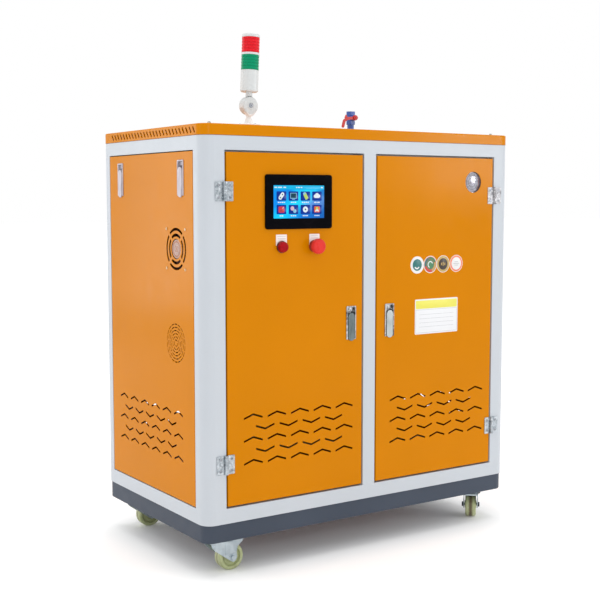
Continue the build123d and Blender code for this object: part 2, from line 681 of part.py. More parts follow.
with BuildPart() as rotor_shape:
    with BuildSketch(Plane.XY.offset(-15.0)):
        Circle(29.0)
    extrude(amount=12.5)
    fillet(rotor_shape.faces().sort_by(Axis.Z)[-1].edges(), radius=2.0)
    with BuildSketch(Plane.XY.offset(-20.5)):
        Circle(2.0)
    extrude(amount=6.0)
    with Locations((0, 0, -8.75)):
        with PolarLocations(40.0, 7):
            Box(26.0, 2.2, 14.0, rotation=(48, 0, 0))

with BuildPart() as fan_rotor:
    with Locations(left(FAN_Y, FAN_Z, 4.5)):
        add(rotor_shape.part)
save(fan_rotor, "fan_rotor")

# ----------------------------------------------------------------------
# Signal tower on a folding foot.  The knuckle's axis lies along Y.
# ----------------------------------------------------------------------
KZ = ROOF_TOP + KNUCKLE_H

with BuildPart() as tower_foot:
    with BuildSketch(Plane(origin=(TOWER_X, TOWER_Y, ROOF_TOP), x_dir=(1, 0, 0), z_dir=(0, 0, 1))):
        Circle(31.0)
    extrude(amount=5.0)
    fillet(tower_foot.faces().sort_by(Axis.Z)[-1].edges(), radius=2.0)
    with BuildSketch(Plane(origin=(TOWER_X, TOWER_Y, ROOF_TOP + 4.0), x_dir=(1, 0, 0), z_dir=(0, 0, 1))):
        Circle(13.0)
    extrude(amount=16.0, taper=18.0)
    with BuildSketch(Plane(origin=(TOWER_X, TOWER_Y, ROOF_TOP + 18.0), x_dir=(1, 0, 0), z_dir=(0, 0, 1))):
        Circle(6.75)
    extrude(amount=16.0)
    # front disc, narrowing down to the post
    with BuildSketch(Plane(origin=(TOWER_X, TOWER_Y - 0.3, KZ), x_dir=(1, 0, 0), z_dir=(0, -1, 0))):
        Circle(23.4)
        Polygon((-18.5, -14.3), (-7.2, -27.5), (7.2, -27.5), (18.5, -14.3), align=None)
    extrude(amount=11.7)
    fillet(tower_foot.faces().sort_by(Axis.Y)[0].edges(), radius=4.5)
    with BuildSketch(Plane(origin=(TOWER_X, TOWER_Y - 2.0, KZ), x_dir=(1, 0, 0), z_dir=(0, 1, 0))):
        Circle(4.0)
    extrude(amount=17.0)
    # keep the post clear of the stem's disc
    with BuildSketch(Plane(origin=(TOWER_X, TOWER_Y - 0.3, KZ), x_dir=(1, 0, 0), z_dir=(0, 1, 0))):
        Circle(24.6)
        Circle(5.0, mode=Mode.SUBTRACT)
    extrude(amount=14.0, mode=Mode.SUBTRACT)
save(tower_foot, "tower_foot")


def tower_plane(h):
    """Across the leaning tower, at a distance from its knuckle."""
    return Plane(origin=(TOWER_X + h * sin(LEAN), TOWER_Y, KZ + h * cos(LEAN)),
                 x_dir=(cos(LEAN), 0, -sin(LEAN)), z_dir=(sin(LEAN), 0, cos(LEAN)))


TOWER_AXIS = Axis((TOWER_X, TOWER_Y, KZ), (sin(LEAN), 0, cos(LEAN)))
TOWER_HALF = Plane(origin=(TOWER_X, TOWER_Y, KZ), x_dir=(cos(LEAN), 0, -sin(LEAN)), z_dir=(0, -1, 0))

H_HOUSE = 35.5
H_GREEN = H_HOUSE + 56.5
H_RING = H_GREEN + 39.5
H_RED = H_RING + 5.5
H_LID = H_RED + 40.0
H_TOP = H_LID + 8.5

with BuildPart() as tower_stem:
    with BuildSketch(Plane(origin=(TOWER_X, TOWER_Y + 0.3, KZ), x_dir=(1, 0, 0), z_dir=(0, 1, 0))):
        Circle(23.4)
    extrude(amount=11.7)
    fillet(tower_stem.faces().sort_by(Axis.Y)[-1].edges(), radius=3.0)
    with BuildSketch(tower_plane(20.0)):
        Circle(8.7)
    extrude(amount=H_HOUSE - 20.0)
    # the stem passes behind the front disc, never through it
    with BuildSketch(Plane(origin=(TOWER_X, TOWER_Y + 0.3, KZ), x_dir=(1, 0, 0), z_dir=(0, -1, 0))):
        Circle(24.6)
    extrude(amount=14.0, mode=Mode.SUBTRACT)
    with BuildSketch(Plane(origin=(TOWER_X, TOWER_Y, KZ), x_dir=(1, 0, 0), z_dir=(0, 1, 0))):
        Circle(4.05)
    extrude(amount=20.0, mode=Mode.SUBTRACT)
save(tower_stem, "tower_stem")

with BuildPart() as tower_housing:
    with BuildSketch(tower_plane(H_HOUSE)):
        Circle(TOWER_R)
    extrude(amount=H_GREEN - H_HOUSE)
    chamfer(tower_housing.faces().sort_by(Axis.Z)[0].edges(), length=2.5)
    with BuildSketch(tower_plane(H_HOUSE + 3.0)):
        Circle(TOWER_R - 3.0)
    extrude(amount=H_GREEN - H_HOUSE - 6.0, mode=Mode.SUBTRACT)
save(tower_housing, "tower_housing")


def ribbed(h0, height, ribs):
    """Half section of a lens ring with shallow horizontal ribs."""
    step = height / ribs
    pts = [(TOWER_R - 4.0, h0), (TOWER_R - 0.7, h0)]
    for i in range(ribs):
        pts.append((TOWER_R, h0 + (i + 0.25) * step))
        pts.append((TOWER_R, h0 + (i + 0.75) * step))
        pts.append((TOWER_R - 0.7, h0 + (i + 1) * step))
    pts.append((TOWER_R - 4.0, h0 + height))
    return pts


with BuildPart() as tower_green_lens:
    with BuildSketch(TOWER_HALF):
        with BuildLine():
            Polyline(*ribbed(H_GREEN, H_RING - H_GREEN, 5), close=True)
        make_face()
    revolve(axis=TOWER_AXIS)
save(tower_green_lens, "tower_green_lens")

with BuildPart() as tower_red_lens:
    with BuildSketch(TOWER_HALF):
        with BuildLine():
            Polyline(*ribbed(H_RED, H_LID - H_RED, 5), close=True)
        make_face()
    revolve(axis=TOWER_AXIS)
save(tower_red_lens, "tower_red_lens")

with BuildPart() as tower_caps:
    with BuildSketch(tower_plane(H_RING)):
        Circle(TOWER_R + 0.3)
    extrude(amount=H_RED - H_RING)
    with BuildSketch(tower_plane(H_LID)):
        Circle(TOWER_R + 0.3)
    extrude(amount=H_TOP - H_LID)
    fillet(tower_caps.faces().sort_by(Axis.Z)[-1].edges(), radius=3.0)
save(tower_caps, "tower_caps")

# ----------------------------------------------------------------------
# Outlet valve on the roof: nipple, body with hexagon ends, stem boss, lever
# ----------------------------------------------------------------------
def valve_plane(h):
    return Plane(origin=(VALVE_X, VALVE_Y, ROOF_TOP + h), x_dir=(1, 0, 0), z_dir=(0, 0, 1))


with BuildPart() as valve_body:
    with BuildSketch(valve_plane(0)):
        Circle(10.5)
    extrude(amount=50.0)
    with BuildSketch(valve_plane(0)):
        RegularPolygon(16.0, 6)
    extrude(amount=8.0)
    with BuildSketch(valve_plane(VALVE_H - 20.5)):
        RegularPolygon(13.0, 6, major_radius=False)
    extrude(amount=11.0)
    with BuildSketch(valve_plane(VALVE_H + 9.5)):
        RegularPolygon(13.0, 6, major_radius=False)
    extrude(amount=11.0)
    with BuildSketch(valve_plane(VALVE_H - 12.0)):
        Circle(13.0)
    extrude(amount=24.0)
    with BuildSketch(Plane(origin=(VALVE_X, VALVE_Y, ROOF_TOP + VALVE_H), x_dir=(1, 0, 0), z_dir=(0, -1, 0))):
        Circle(7.5)
    extrude(amount=17.0)
    with BuildSketch(Plane(origin=(VALVE_X, VALVE_Y - 18.0, ROOF_TOP + VALVE_H), x_dir=(1, 0, 0), z_dir=(0, 1, 0))):
        Circle(3.55)
    extrude(amount=10.0, mode=Mode.SUBTRACT)
    with BuildSketch(valve_plane(VALVE_H + 20.5)):
        Circle(9.5)
    extrude(amount=-14.0, mode=Mode.SUBTRACT)
save(valve_body, "valve_body")

LEVER_PATH = ((0.0, 0.0), (-31.0, -3.5), (-42.0, -11.0), (-47.0, -28.0))

with BuildPart() as valve_lever:
    with BuildSketch(Plane(origin=(VALVE_X, VALVE_Y - 22.0, ROOF_TOP + VALVE_H), x_dir=(1, 0, 0), z_dir=(0, -1, 0))):
        Circle(8.5)
        for (xa, za), (xb, zb) in zip(LEVER_PATH[:-1], LEVER_PATH[1:]):
            with Locations(((xa + xb) / 2, (za + zb) / 2)):
                SlotCenterToCenter(hypot(xb - xa, zb - za), 9.0, rotation=degrees(atan2(zb - za, xb - xa)))
        with BuildLine():
            Polyline((-30.0, 0.5), (-35.5, 8.5), (-40.0, 0.0), (-38.0, -9.0), (-29.0, -4.0), close=True)
        make_face()
    extrude(amount=3.5)
    with BuildSketch(Plane(origin=(VALVE_X, VALVE_Y - 25.0, ROOF_TOP + VALVE_H), x_dir=(1, 0, 0), z_dir=(0, -1, 0))):
        RegularPolygon(6.5, 6, major_radius=False)
    extrude(amount=5.0)
    with BuildSketch(Plane(origin=(VALVE_X, VALVE_Y - 23.0, ROOF_TOP + VALVE_H), x_dir=(1, 0, 0), z_dir=(0, 1, 0))):
        Circle(3.5)
    extrude(amount=14.0)
save(valve_lever, "valve_lever")

# ----------------------------------------------------------------------
# Casters.  The fork and wheel shapes trail towards +X from the swivel axis.
# ----------------------------------------------------------------------
with BuildPart() as caster_tops:
    for name, (cx, cy, turn) in CASTERS.items():
        with BuildSketch(Plane(origin=(cx, cy, CLEAR_H), x_dir=(1, 0, 0), z_dir=(0, 0, 1))):
            RectangleRounded(95.0, 67.0, 6.0)
        extrude(amount=-3.0)
        with BuildSketch(Plane(origin=(cx, cy, CLEAR_H - 3.0), x_dir=(1, 0, 0), z_dir=(0, 0, 1))):
            Circle(26.0)
        extrude(amount=-7.0, taper=12.0)
        with BuildSketch(Plane(origin=(cx, cy, CLEAR_H - 3.0), x_dir=(1, 0, 0), z_dir=(0, 0, 1))):
            Circle(6.0)
        extrude(amount=-15.0)
        with BuildSketch(Plane(origin=(cx, cy, 80.0), x_dir=(1, 0, 0), z_dir=(0, 0, 1))):
            Circle(9.0)
        extrude(amount=-3.5)
save(caster_tops, "caster_tops")

CHEEK = ((-44.0, 84.5), (52.0, 84.5), (52.0, 79.0), (36.0, 66.0), (31.5, 52.0), (33.0, 36.0),
         (29.0, 27.0), (21.0, 23.5), (13.0, 28.0), (-35.0, 63.0), (-43.0, 73.0))

with BuildPart() as fork_shape:
    with BuildSketch(Plane.XY.offset(80.5)):
        Circle(30.0)
        with Locations((4.0, 0.0)):
            RectangleRounded(96.0, 44.0, 6.0)
        Circle(6.05, mode=Mode.SUBTRACT)
    extrude(amount=4.0)
    # cheeks: as wide as the crown, narrow at the axle
    for depth in (-22.0, 19.5):
        with BuildSketch(Plane.XZ.offset(depth)):
            with BuildLine() as rim:
                Polyline(*CHEEK, close=True)
            make_face()
            fillet(rim.vertices().filter_by(lambda v: v.Z < 80.0), radius=2.5)
        extrude(amount=2.5)
    # axle with a head and a nut
    with BuildSketch(Plane.XZ.offset(-27.5)):
        with Locations((TRAIL, WHEEL_R)):
            RegularPolygon(7.5, 6)
    extrude(amount=6.0)
    with BuildSketch(Plane.XZ.offset(21.5)):
        with Locations((TRAIL, WHEEL_R)):
            RegularPolygon(7.5, 6)
    extrude(amount=6.0)
    with BuildSketch(Plane.XZ.offset(-23.0)):
        with Locations((TRAIL, WHEEL_R)):
            Circle(4.0)
    extrude(amount=46.0)

with BuildPart() as wheel_shape:
    with BuildSketch(Plane(origin=(TRAIL, 0, WHEEL_R), x_dir=(1, 0, 0), z_dir=(0, -1, 0))) as wheel_sk:
        with BuildLine():
            Polyline((4.1, -18.3), (11.0, -18.3), (13.0, -12.5), (25.0, -11.0), (27.0, -15.6), (31.0, -16.6))
            Line((31.0, -16.6), (34.9, -15.0))
            ThreePointArc((34.9, -15.0), (36.45, -11.2), (WHEEL_R, -7.0))
            Line((WHEEL_R, -7.0), (WHEEL_R, 7.0))
            ThreePointArc((WHEEL_R, 7.0), (36.45, 11.2), (34.9, 15.0))
            Line((34.9, 15.0), (31.0, 16.6))
            Polyline((31.0, 16.6), (27.0, 15.6), (25.0, 11.0), (13.0, 12.5), (11.0, 18.3), (4.1, 18.3), (4.1, -18.3))
        make_face()
wheel_section = wheel_sk.sketch_local

with BuildPart() as wheel_turned:
    with BuildSketch(Plane(origin=(TRAIL, 0, WHEEL_R), x_dir=(1, 0, 0), z_dir=(0, 0, 1))):
        add(wheel_section)
    revolve(axis=Axis((TRAIL, 0, WHEEL_R), (0, 1, 0)))

FL, FR, RL, RR = (Location((cx, cy, 0), (0, 0, turn)) for cx, cy, turn in CASTERS.values())

with BuildPart() as front_left_fork:
    with Locations(FL):
        add(fork_shape.part)
save(front_left_fork, "front_left_fork")

with BuildPart() as front_left_wheel:
    with Locations(FL):
        add(wheel_turned.part)
save(front_left_wheel, "front_left_wheel")

with BuildPart() as front_right_fork:
    with Locations(FR):
        add(fork_shape.part)
save(front_right_fork, "front_right_fork")

with BuildPart() as front_right_wheel:
    with Locations(FR):
        add(wheel_turned.part)
save(front_right_wheel, "front_right_wheel")

with BuildPart() as rear_left_fork:
    with Locations(RL):
        add(fork_shape.part)
save(rear_left_fork, "rear_left_fork")

with BuildPart() as rear_left_wheel:
    with Locations(RL):
        add(wheel_turned.part)
save(rear_left_wheel, "rear_left_wheel")

with BuildPart() as rear_right_fork:
    with Locations(RR):
        add(fork_shape.part)
save(rear_right_fork, "rear_right_fork")

with BuildPart() as rear_right_wheel:
    with Locations(RR):
        add(wheel_turned.part)
save(rear_right_wheel, "rear_right_wheel")
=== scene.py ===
import json
import math

import bmesh
import bpy
from mathutils import Matrix, Vector


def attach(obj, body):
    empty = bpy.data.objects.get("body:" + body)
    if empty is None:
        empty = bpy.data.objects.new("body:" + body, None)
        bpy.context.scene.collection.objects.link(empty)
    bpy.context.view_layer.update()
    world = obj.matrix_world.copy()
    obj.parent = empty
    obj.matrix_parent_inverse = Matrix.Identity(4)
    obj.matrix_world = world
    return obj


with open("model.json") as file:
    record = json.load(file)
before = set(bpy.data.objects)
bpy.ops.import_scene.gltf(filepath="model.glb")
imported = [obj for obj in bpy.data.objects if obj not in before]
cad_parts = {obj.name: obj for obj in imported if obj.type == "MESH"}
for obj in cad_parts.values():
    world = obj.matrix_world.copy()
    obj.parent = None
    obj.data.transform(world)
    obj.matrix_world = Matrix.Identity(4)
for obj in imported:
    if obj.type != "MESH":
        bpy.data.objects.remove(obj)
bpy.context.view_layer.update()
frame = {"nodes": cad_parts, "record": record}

NODES = frame["nodes"]

# ----------------------------------------------------------------------
# Measures, millimetres, the same datum as the CAD source
# ----------------------------------------------------------------------
YF = -(613.0 + 4.5 - 30.0) / 2
XH = 530.0
ROOF = 1182.5


def fx(x):
    return x - 530.0


def fy(y):
    return YF + y


# ----------------------------------------------------------------------
# Flat frames to draw on: u and v in the face, n outwards
# ----------------------------------------------------------------------
class Flat:
    def __init__(self, origin, u, v, n):
        self.o, self.u, self.v, self.n = Vector(origin), Vector(u), Vector(v), Vector(n)

    def at(self, a, b, h):
        return (self.o + self.u * a + self.v * b + self.n * h) * 0.001


def front(x, z, proud=0.0):
    return Flat((x, YF - proud, z), (1, 0, 0), (0, 0, 1), (0, -1, 0))


def left(y, z, proud=0.0):
    return Flat((-XH - proud, y, z), (0, -1, 0), (0, 0, 1), (-1, 0, 0))


def top(x, y, z):
    return Flat((x, y, z), (1, 0, 0), (0, 1, 0), (0, 0, 1))


# ----------------------------------------------------------------------
# Outlines, counter-clockwise
# ----------------------------------------------------------------------
def circle(r, seg=40, cx=0.0, cy=0.0):
    return [(cx + r * math.cos(2 * math.pi * i / seg), cy + r * math.sin(2 * math.pi * i / seg)) for i in range(seg)]


def rrect(w, h, r, seg=5, cx=0.0, cy=0.0):
    pts = []
    for sx, sy, a0 in ((1, 1, 0), (-1, 1, 90), (-1, -1, 180), (1, -1, 270)):
        for i in range(seg + 1):
            a = math.radians(a0 + 90.0 * i / seg)
            pts.append((cx + sx * (w / 2 - r) + r * math.cos(a), cy + sy * (h / 2 - r) + r * math.sin(a)))
    return pts


def turned(pts, deg, dx=0.0, dy=0.0):
    c, s = math.cos(math.radians(deg)), math.sin(math.radians(deg))
    return [(x * c - y * s + dx, x * s + y * c + dy) for x, y in pts]


def ring_part(r0, r1, a0, a1, seg=24):
    outer = [(r1 * math.cos(math.radians(a0 + (a1 - a0) * i / seg)), r1 * math.sin(math.radians(a0 + (a1 - a0) * i / seg))) for i in range(seg + 1)]
    inner = [(r0 * math.cos(math.radians(a1 + (a0 - a1) * i / seg)), r0 * math.sin(math.radians(a1 + (a0 - a1) * i / seg))) for i in range(seg + 1)]
    return outer + inner


def shrink(pts, d):
    out = []
    n = len(pts)
    for i in range(n):
        a, b, c = Vector(pts[i - 1]), Vector(pts[i]), Vector(pts[(i + 1) % n])
        e1, e2 = (b - a), (c - b)
        if e1.length < 1e-6 or e2.length < 1e-6:
            out.append(tuple(b))
            continue
        e1.normalize()
        e2.normalize()
        n1, n2 = Vector((-e1.y, e1.x)), Vector((-e2.y, e2.x))
        k = max(0.35, 1 + n1.dot(n2))
        p = b + (n1 + n2) * (d / k)
        out.append((p.x, p.y))
    return out


# ----------------------------------------------------------------------
# One mesh piece, filled with shapes
# ----------------------------------------------------------------------
class Piece:
    def __init__(self, name):
        self.name, self.bm, self.mats = name, bmesh.new(), []

    def _index(self, mat):
        if mat not in self.mats:
            self.mats.append(mat)
        return self.mats.index(mat)

    def _face(self, verts, k):
        try:
            f = self.bm.faces.new(verts)
            f.material_index = k
            return f
        except ValueError:
            return None

    def prism(self, fr, pts, h0, h1, mat, edge=0.0):
        k = self._index(mat)
        levels = [(pts, h0)]
        if edge > 0:
            levels += [(pts, h1 - edge), (shrink(pts, edge * 0.3), h1 - edge * 0.3), (shrink(pts, edge), h1)]
        else:
            levels += [(pts, h1)]
        rings = [[self.bm.verts.new(fr.at(a, b, h)) for a, b in ps] for ps, h in levels]
        n = len(pts)
        self._face(list(reversed(rings[0])), k)
        for lo, hi in zip(rings[:-1], rings[1:]):
            for i in range(n):
                self._face([lo[i], lo[(i + 1) % n], hi[(i + 1) % n], hi[i]], k)
        self._face(rings[-1], k)
        return self

    def rim(self, fr, outer, inner, h0, h1, mat):
        """A raised line between two outlines with the same number of points."""
        k = self._index(mat)
        n = len(outer)
        loops = [[self.bm.verts.new(fr.at(a, b, h)) for a, b in ps] for ps, h in ((outer, h0), (outer, h1), (inner, h1), (inner, h0))]
        for lo, hi in zip(loops, loops[1:] + loops[:1]):
            for i in range(n):
                self._face([lo[i], lo[(i + 1) % n], hi[(i + 1) % n], hi[i]], k)
        return self

    def lathe(self, fr, profile, mat, seg=40, cx=0.0, cy=0.0):
        k = self._index(mat)
        rings = []
        for r, h in profile:
            if r < 1e-6:
                rings.append([self.bm.verts.new(fr.at(cx, cy, h))])
            else:
                rings.append([self.bm.verts.new(fr.at(cx + r * math.cos(2 * math.pi * i / seg), cy + r * math.sin(2 * math.pi * i / seg), h)) for i in range(seg)])
        for lo, hi in zip(rings[:-1], rings[1:]):
            for i in range(seg):
                j = (i + 1) % seg
                if len(lo) == 1 and len(hi) == 1:
                    continue
                if len(lo) == 1:
                    self._face([lo[0], hi[j], hi[i]], k)
                elif len(hi) == 1:
                    self._face([lo[i], lo[j], hi[0]], k)
                else:
                    self._face([lo[i], lo[j], hi[j], hi[i]], k)
        return self

    def band(self, fr, r0, r1, h0, h1, mat, seg=56, cx=0.0, cy=0.0, edge=0.15):
        """A flat ring with rounded edges."""
        return self.lathe(fr, [(r0, h0), (r0, h1 - edge), (r0 + edge, h1), (r1 - edge, h1), (r1, h1 - edge), (r1, h0), (r0, h0)], mat, seg, cx, cy)

    def screw(self, fr, cx, cy, r, h, mat, turn=20.0, recess=1.2):
        """Pan head with a cross recess."""
        k = self._index(mat)
        self.lathe(fr, [(r * 0.98, -0.4), (r, h * 0.2), (r * 0.95, h * 0.62), (r * 0.8, h * 0.9), (r * 0.66, h)], mat, 28, cx, cy)
        rim = circle(r * 0.66, 28, cx, cy)
        w, l = r * 0.12, r * 0.5
        cross = [(w, w), (w, l), (-w, l), (-w, w), (-l, w), (-l, -w), (-w, -w), (-w, -l), (w, -l), (w, -w), (l, -w), (l, w)]
        cross = turned(cross, turn, cx, cy)
        up = [self.bm.verts.new(fr.at(a, b, h)) for a, b in rim]
        hole = [self.bm.verts.new(fr.at(a, b, h)) for a, b in cross]
        deep = [self.bm.verts.new(fr.at(cx + (a - cx) * 0.7, cy + (b - cy) * 0.7, h - recess)) for a, b in cross]
        edges = []
        for loop in (up, hole):
            for i in range(len(loop)):
                edges.append(self.bm.edges.new((loop[i], loop[(i + 1) % len(loop)])))
        made = bmesh.ops.triangle_fill(self.bm, use_beauty=True, use_dissolve=False, edges=edges)
        for g in made["geom"]:
            if isinstance(g, bmesh.types.BMFace):
                g.material_index = k
        n = len(hole)
        for i in range(n):
            self._face([hole[i], hole[(i + 1) % n], deep[(i + 1) % n], deep[i]], k)
        self._face(list(reversed(deep)), k)
        return self

    def done(self, body, angle=32.0):
        bmesh.ops.remove_doubles(self.bm, verts=self.bm.verts, dist=1e-7)
        bmesh.ops.recalc_face_normals(self.bm, faces=self.bm.faces)
        me = bpy.data.meshes.new(self.name)
        self.bm.to_mesh(me)
        self.bm.free()
        for m in self.mats:
            me.materials.append(m)
        me.shade_smooth()
        me.set_sharp_from_angle(angle=math.radians(angle))
        ob = bpy.data.objects.new(self.name, me)
        bpy.context.scene.collection.objects.link(ob)
        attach(ob, body)
        return ob


# ----------------------------------------------------------------------
# Procedural finishes
# ----------------------------------------------------------------------
class Finish:
    def __init__(self, name):
        self.m = bpy.data.materials.new(name)
        self.m.use_nodes = True
        self.t = self.m.node_tree
        self.b = self.t.nodes["Principled BSDF"]
        self.co = self.t.nodes.new("ShaderNodeTexCoord").outputs["Object"]

    def link(self, a, b):
        self.t.links.new(a, b)

    def stretch(self, sx, sy, sz, co=None):
        n = self.t.nodes.new("ShaderNodeMapping")
        n.inputs["Scale"].default_value = (sx, sy, sz)
        self.link(co or self.co, n.inputs["Vector"])
        return n.outputs["Vector"]

    def noise(self, scale, detail=2.0, rough=0.5, co=None, twist=0.0):
        n = self.t.nodes.new("ShaderNodeTexNoise")
        n.inputs["Scale"].default_value = scale
        n.inputs["Detail"].default_value = detail
        n.inputs["Roughness"].default_value = rough
        n.inputs["Distortion"].default_value = twist
        self.link(co or self.co, n.inputs["Vector"])
        return n.outputs["Fac"]

    def cells(self, scale, co=None):
        n = self.t.nodes.new("ShaderNodeTexVoronoi")
        n.inputs["Scale"].default_value = scale
        self.link(co or self.co, n.inputs["Vector"])
        return n.outputs["Distance"]

    def axis(self, which, co=None):
        n = self.t.nodes.new("ShaderNodeSeparateXYZ")
        self.link(co or self.co, n.inputs[0])
        return n.outputs[which]

    def span(self, value, a, b, c, d):
        n = self.t.nodes.new("ShaderNodeMapRange")
        n.inputs["From Min"].default_value = a
        n.inputs["From Max"].default_value = b
        n.inputs["To Min"].default_value = c
        n.inputs["To Max"].default_value = d
        self.link(value, n.inputs["Value"])
        return n.outputs["Result"]

    def calc(self, op, a, b=0.0):
        n = self.t.nodes.new("ShaderNodeMath")
        n.operation = op
        for i, v in enumerate((a, b)):
            if isinstance(v, (int, float)):
                n.inputs[i].default_value = v
            else:
                self.link(v, n.inputs[i])
        return n.outputs[0]

    def blend(self, fac, a, b):
        n = self.t.nodes.new("ShaderNodeMix")
        n.data_type = "RGBA"
        for key, v in ((0, fac), (6, a), (7, b)):
            if isinstance(v, (int, float)):
                n.inputs[key].default_value = v
            elif isinstance(v, tuple):
                n.inputs[key].default_value = (*v, 1.0)
            else:
                self.link(v, n.inputs[key])
        return n.outputs[2]

    def colour(self, out):
        self.link(out, self.b.inputs["Base Color"])

    def rough(self, out):
        self.link(out, self.b.inputs["Roughness"])

    def bump(self, height, strength, distance, under=None):
        n = self.t.nodes.new("ShaderNodeBump")
        n.inputs["Strength"].default_value = strength
        n.inputs["Distance"].default_value = distance
        self.link(height, n.inputs["Height"])
        if under is not None:
            self.link(under, n.inputs["Normal"])
        self.link(n.outputs["Normal"], self.b.inputs["Normal"])
        return n.outputs["Normal"]


def tone(c, k):
    return tuple(max(0.0, min(1.0, v * k)) for v in c)


def powder(name, col, rough=0.36, peel=0.18, var=0.035, fine=430.0, shine=0.3):
    """Powder coat: faint clouding, orange peel and a little uneven gloss."""
    f = Finish(name)
    f.b.inputs["Specular IOR Level"].default_value = shine
    cloud = f.noise(3.1, 3.0, 0.55)
    speck = f.noise(760.0, 1.0, 0.5)
    base = f.blend(f.span(cloud, 0.3, 0.7, 0.0, 1.0), tone(col, 1 - var), tone(col, 1 + var))
    f.colour(f.blend(f.span(speck, 0.35, 0.65, 0.0, 0.22), base, tone(col, 0.86)))
    f.rough(f.span(f.noise(26.0, 3.0), 0.3, 0.7, rough - 0.05, rough + 0.06))
    f.bump(f.noise(fine, 2.0, 0.45), peel, 0.0006)
    return f.m


def metal(name, dark, light, r0, r1, scale=70.0, stretch=(1, 1, 1), bump=0.08, weight=1.0, bscale=240.0):
    """Plated or bare metal: patchy tone, uneven gloss, small scratches."""
    f = Finish(name)
    co = f.stretch(*stretch)
    patch = f.noise(scale, 5.0, 0.62, co, 0.6)
    f.colour(f.blend(f.span(patch, 0.32, 0.68, 0.0, 1.0), dark, light))
    f.rough(f.span(f.noise(scale * 1.7, 4.0, 0.6, co), 0.3, 0.7, r0, r1))
    f.b.inputs["Metallic"].default_value = weight
    f.bump(f.noise(bscale, 4.0, 0.6, co), bump, 0.0004)
    return f.m


def plastic(name, col, rough=0.3, var=0.06, scale=60.0, bump=0.04, bscale=700.0, glow=0.0, dust=0.0, shine=0.5):
    """Moulded or printed surface, with faint mottling and handling marks."""
    f = Finish(name)
    f.b.inputs["Specular IOR Level"].default_value = shine
    base = f.blend(f.span(f.noise(scale, 4.0, 0.6), 0.3, 0.7, 0.0, 1.0), tone(col, 1 - var), tone(col, 1 + var))
    if dust > 0:
        grime = f.span(f.noise(scale * 0.35, 5.0, 0.65), 0.5, 0.75, 0.0, dust)
        base = f.blend(grime, base, (0.34, 0.32, 0.28))
    f.colour(base)
    f.rough(f.span(f.noise(scale * 2.3, 3.0), 0.3, 0.7, max(0.03, rough - 0.07), rough + 0.07))
    f.bump(f.noise(bscale, 2.0), bump, 0.0003)
    if glow > 0:
        f.link(base, f.b.inputs["Emission Color"])
        f.b.inputs["Emission Strength"].default_value = glow
    return f.m


M = {}
M["orange_paint"] = powder("orange_paint", (0.575, 0.194, 0.0), rough=0.15, peel=0.12, shine=0.060)
M["frame_paint"] = powder("frame_paint", (0.502, 0.536, 0.576), rough=0.38, peel=0.12, var=0.018)
M["base_paint"] = powder("base_paint", (0.056, 0.069, 0.094), rough=0.42, peel=0.25, var=0.09, shine=0.12)
M["inner_steel"] = metal("inner_steel", (0.30, 0.31, 0.32), (0.5, 0.51, 0.52), 0.38, 0.58, 30.0)
M["zinc"] = metal("zinc", (0.19, 0.225, 0.25), (0.58, 0.62, 0.66), 0.2, 0.44, 95.0, bump=0.16, weight=0.9)
M["chrome"] = metal("chrome", (0.56, 0.54, 0.60), (0.74, 0.71, 0.78), 0.07, 0.2, 42.0, (1, 1, 0.35), bump=0.05)
M["black_plastic"] = plastic("black_plastic", (0.016, 0.016, 0.018), 0.42, 0.25, dust=0.05)
M["white_plastic"] = plastic("white_plastic", (0.57, 0.592, 0.594), 0.3, 0.02)
M["lamp_red"] = plastic("lamp_red", (0.30, 0.002, 0.006), 0.12, 0.25, 120.0, glow=0.10, shine=0.12)
M["stop_red"] = plastic("stop_red", (0.62, 0.030, 0.024), 0.3, 0.06, 30.0, shine=0.16)
M["gauge_steel"] = metal("gauge_steel", (0.36, 0.36, 0.38), (0.62, 0.62, 0.66), 0.14, 0.3, 60.0)
M["valve_blue"] = powder("valve_blue", (0.05, 0.12, 0.48), rough=0.26, peel=0.35, var=0.2, fine=260.0)
M["lever_red"] = powder("lever_red", (0.52, 0.030, 0.030), rough=0.32, peel=0.3, var=0.16, fine=260.0)


def bezel():
    """Glossy black panel with faint wiping marks."""
    f = Finish("screen_black")
    smear = f.noise(26.0, 6.0, 0.66, f.stretch(1.0, 1.0, 2.2), 1.6)
    f.colour(f.blend(f.span(smear, 0.5, 0.8, 0.0, 0.5), (0.0015, 0.0015, 0.0025), (0.006, 0.005, 0.008)))
    f.b.inputs["Specular IOR Level"].default_value = 0.03
    f.rough(f.span(smear, 0.35, 0.75, 0.10, 0.30))
    f.bump(f.noise(300.0, 2.0), 0.03, 0.0003)
    return f.m


M["screen_black"] = bezel()


LEAN = math.radians(2.65)
TX, TY = fx(172.0), fy(60.0)
KZ = ROOF + 53.0
H_GREEN, H_RED, H_LID = 92.0, 137.0, 177.0
ACROSS, ALONG = (math.cos(LEAN), 0, -math.sin(LEAN)), (math.sin(LEAN), 0, math.cos(LEAN))


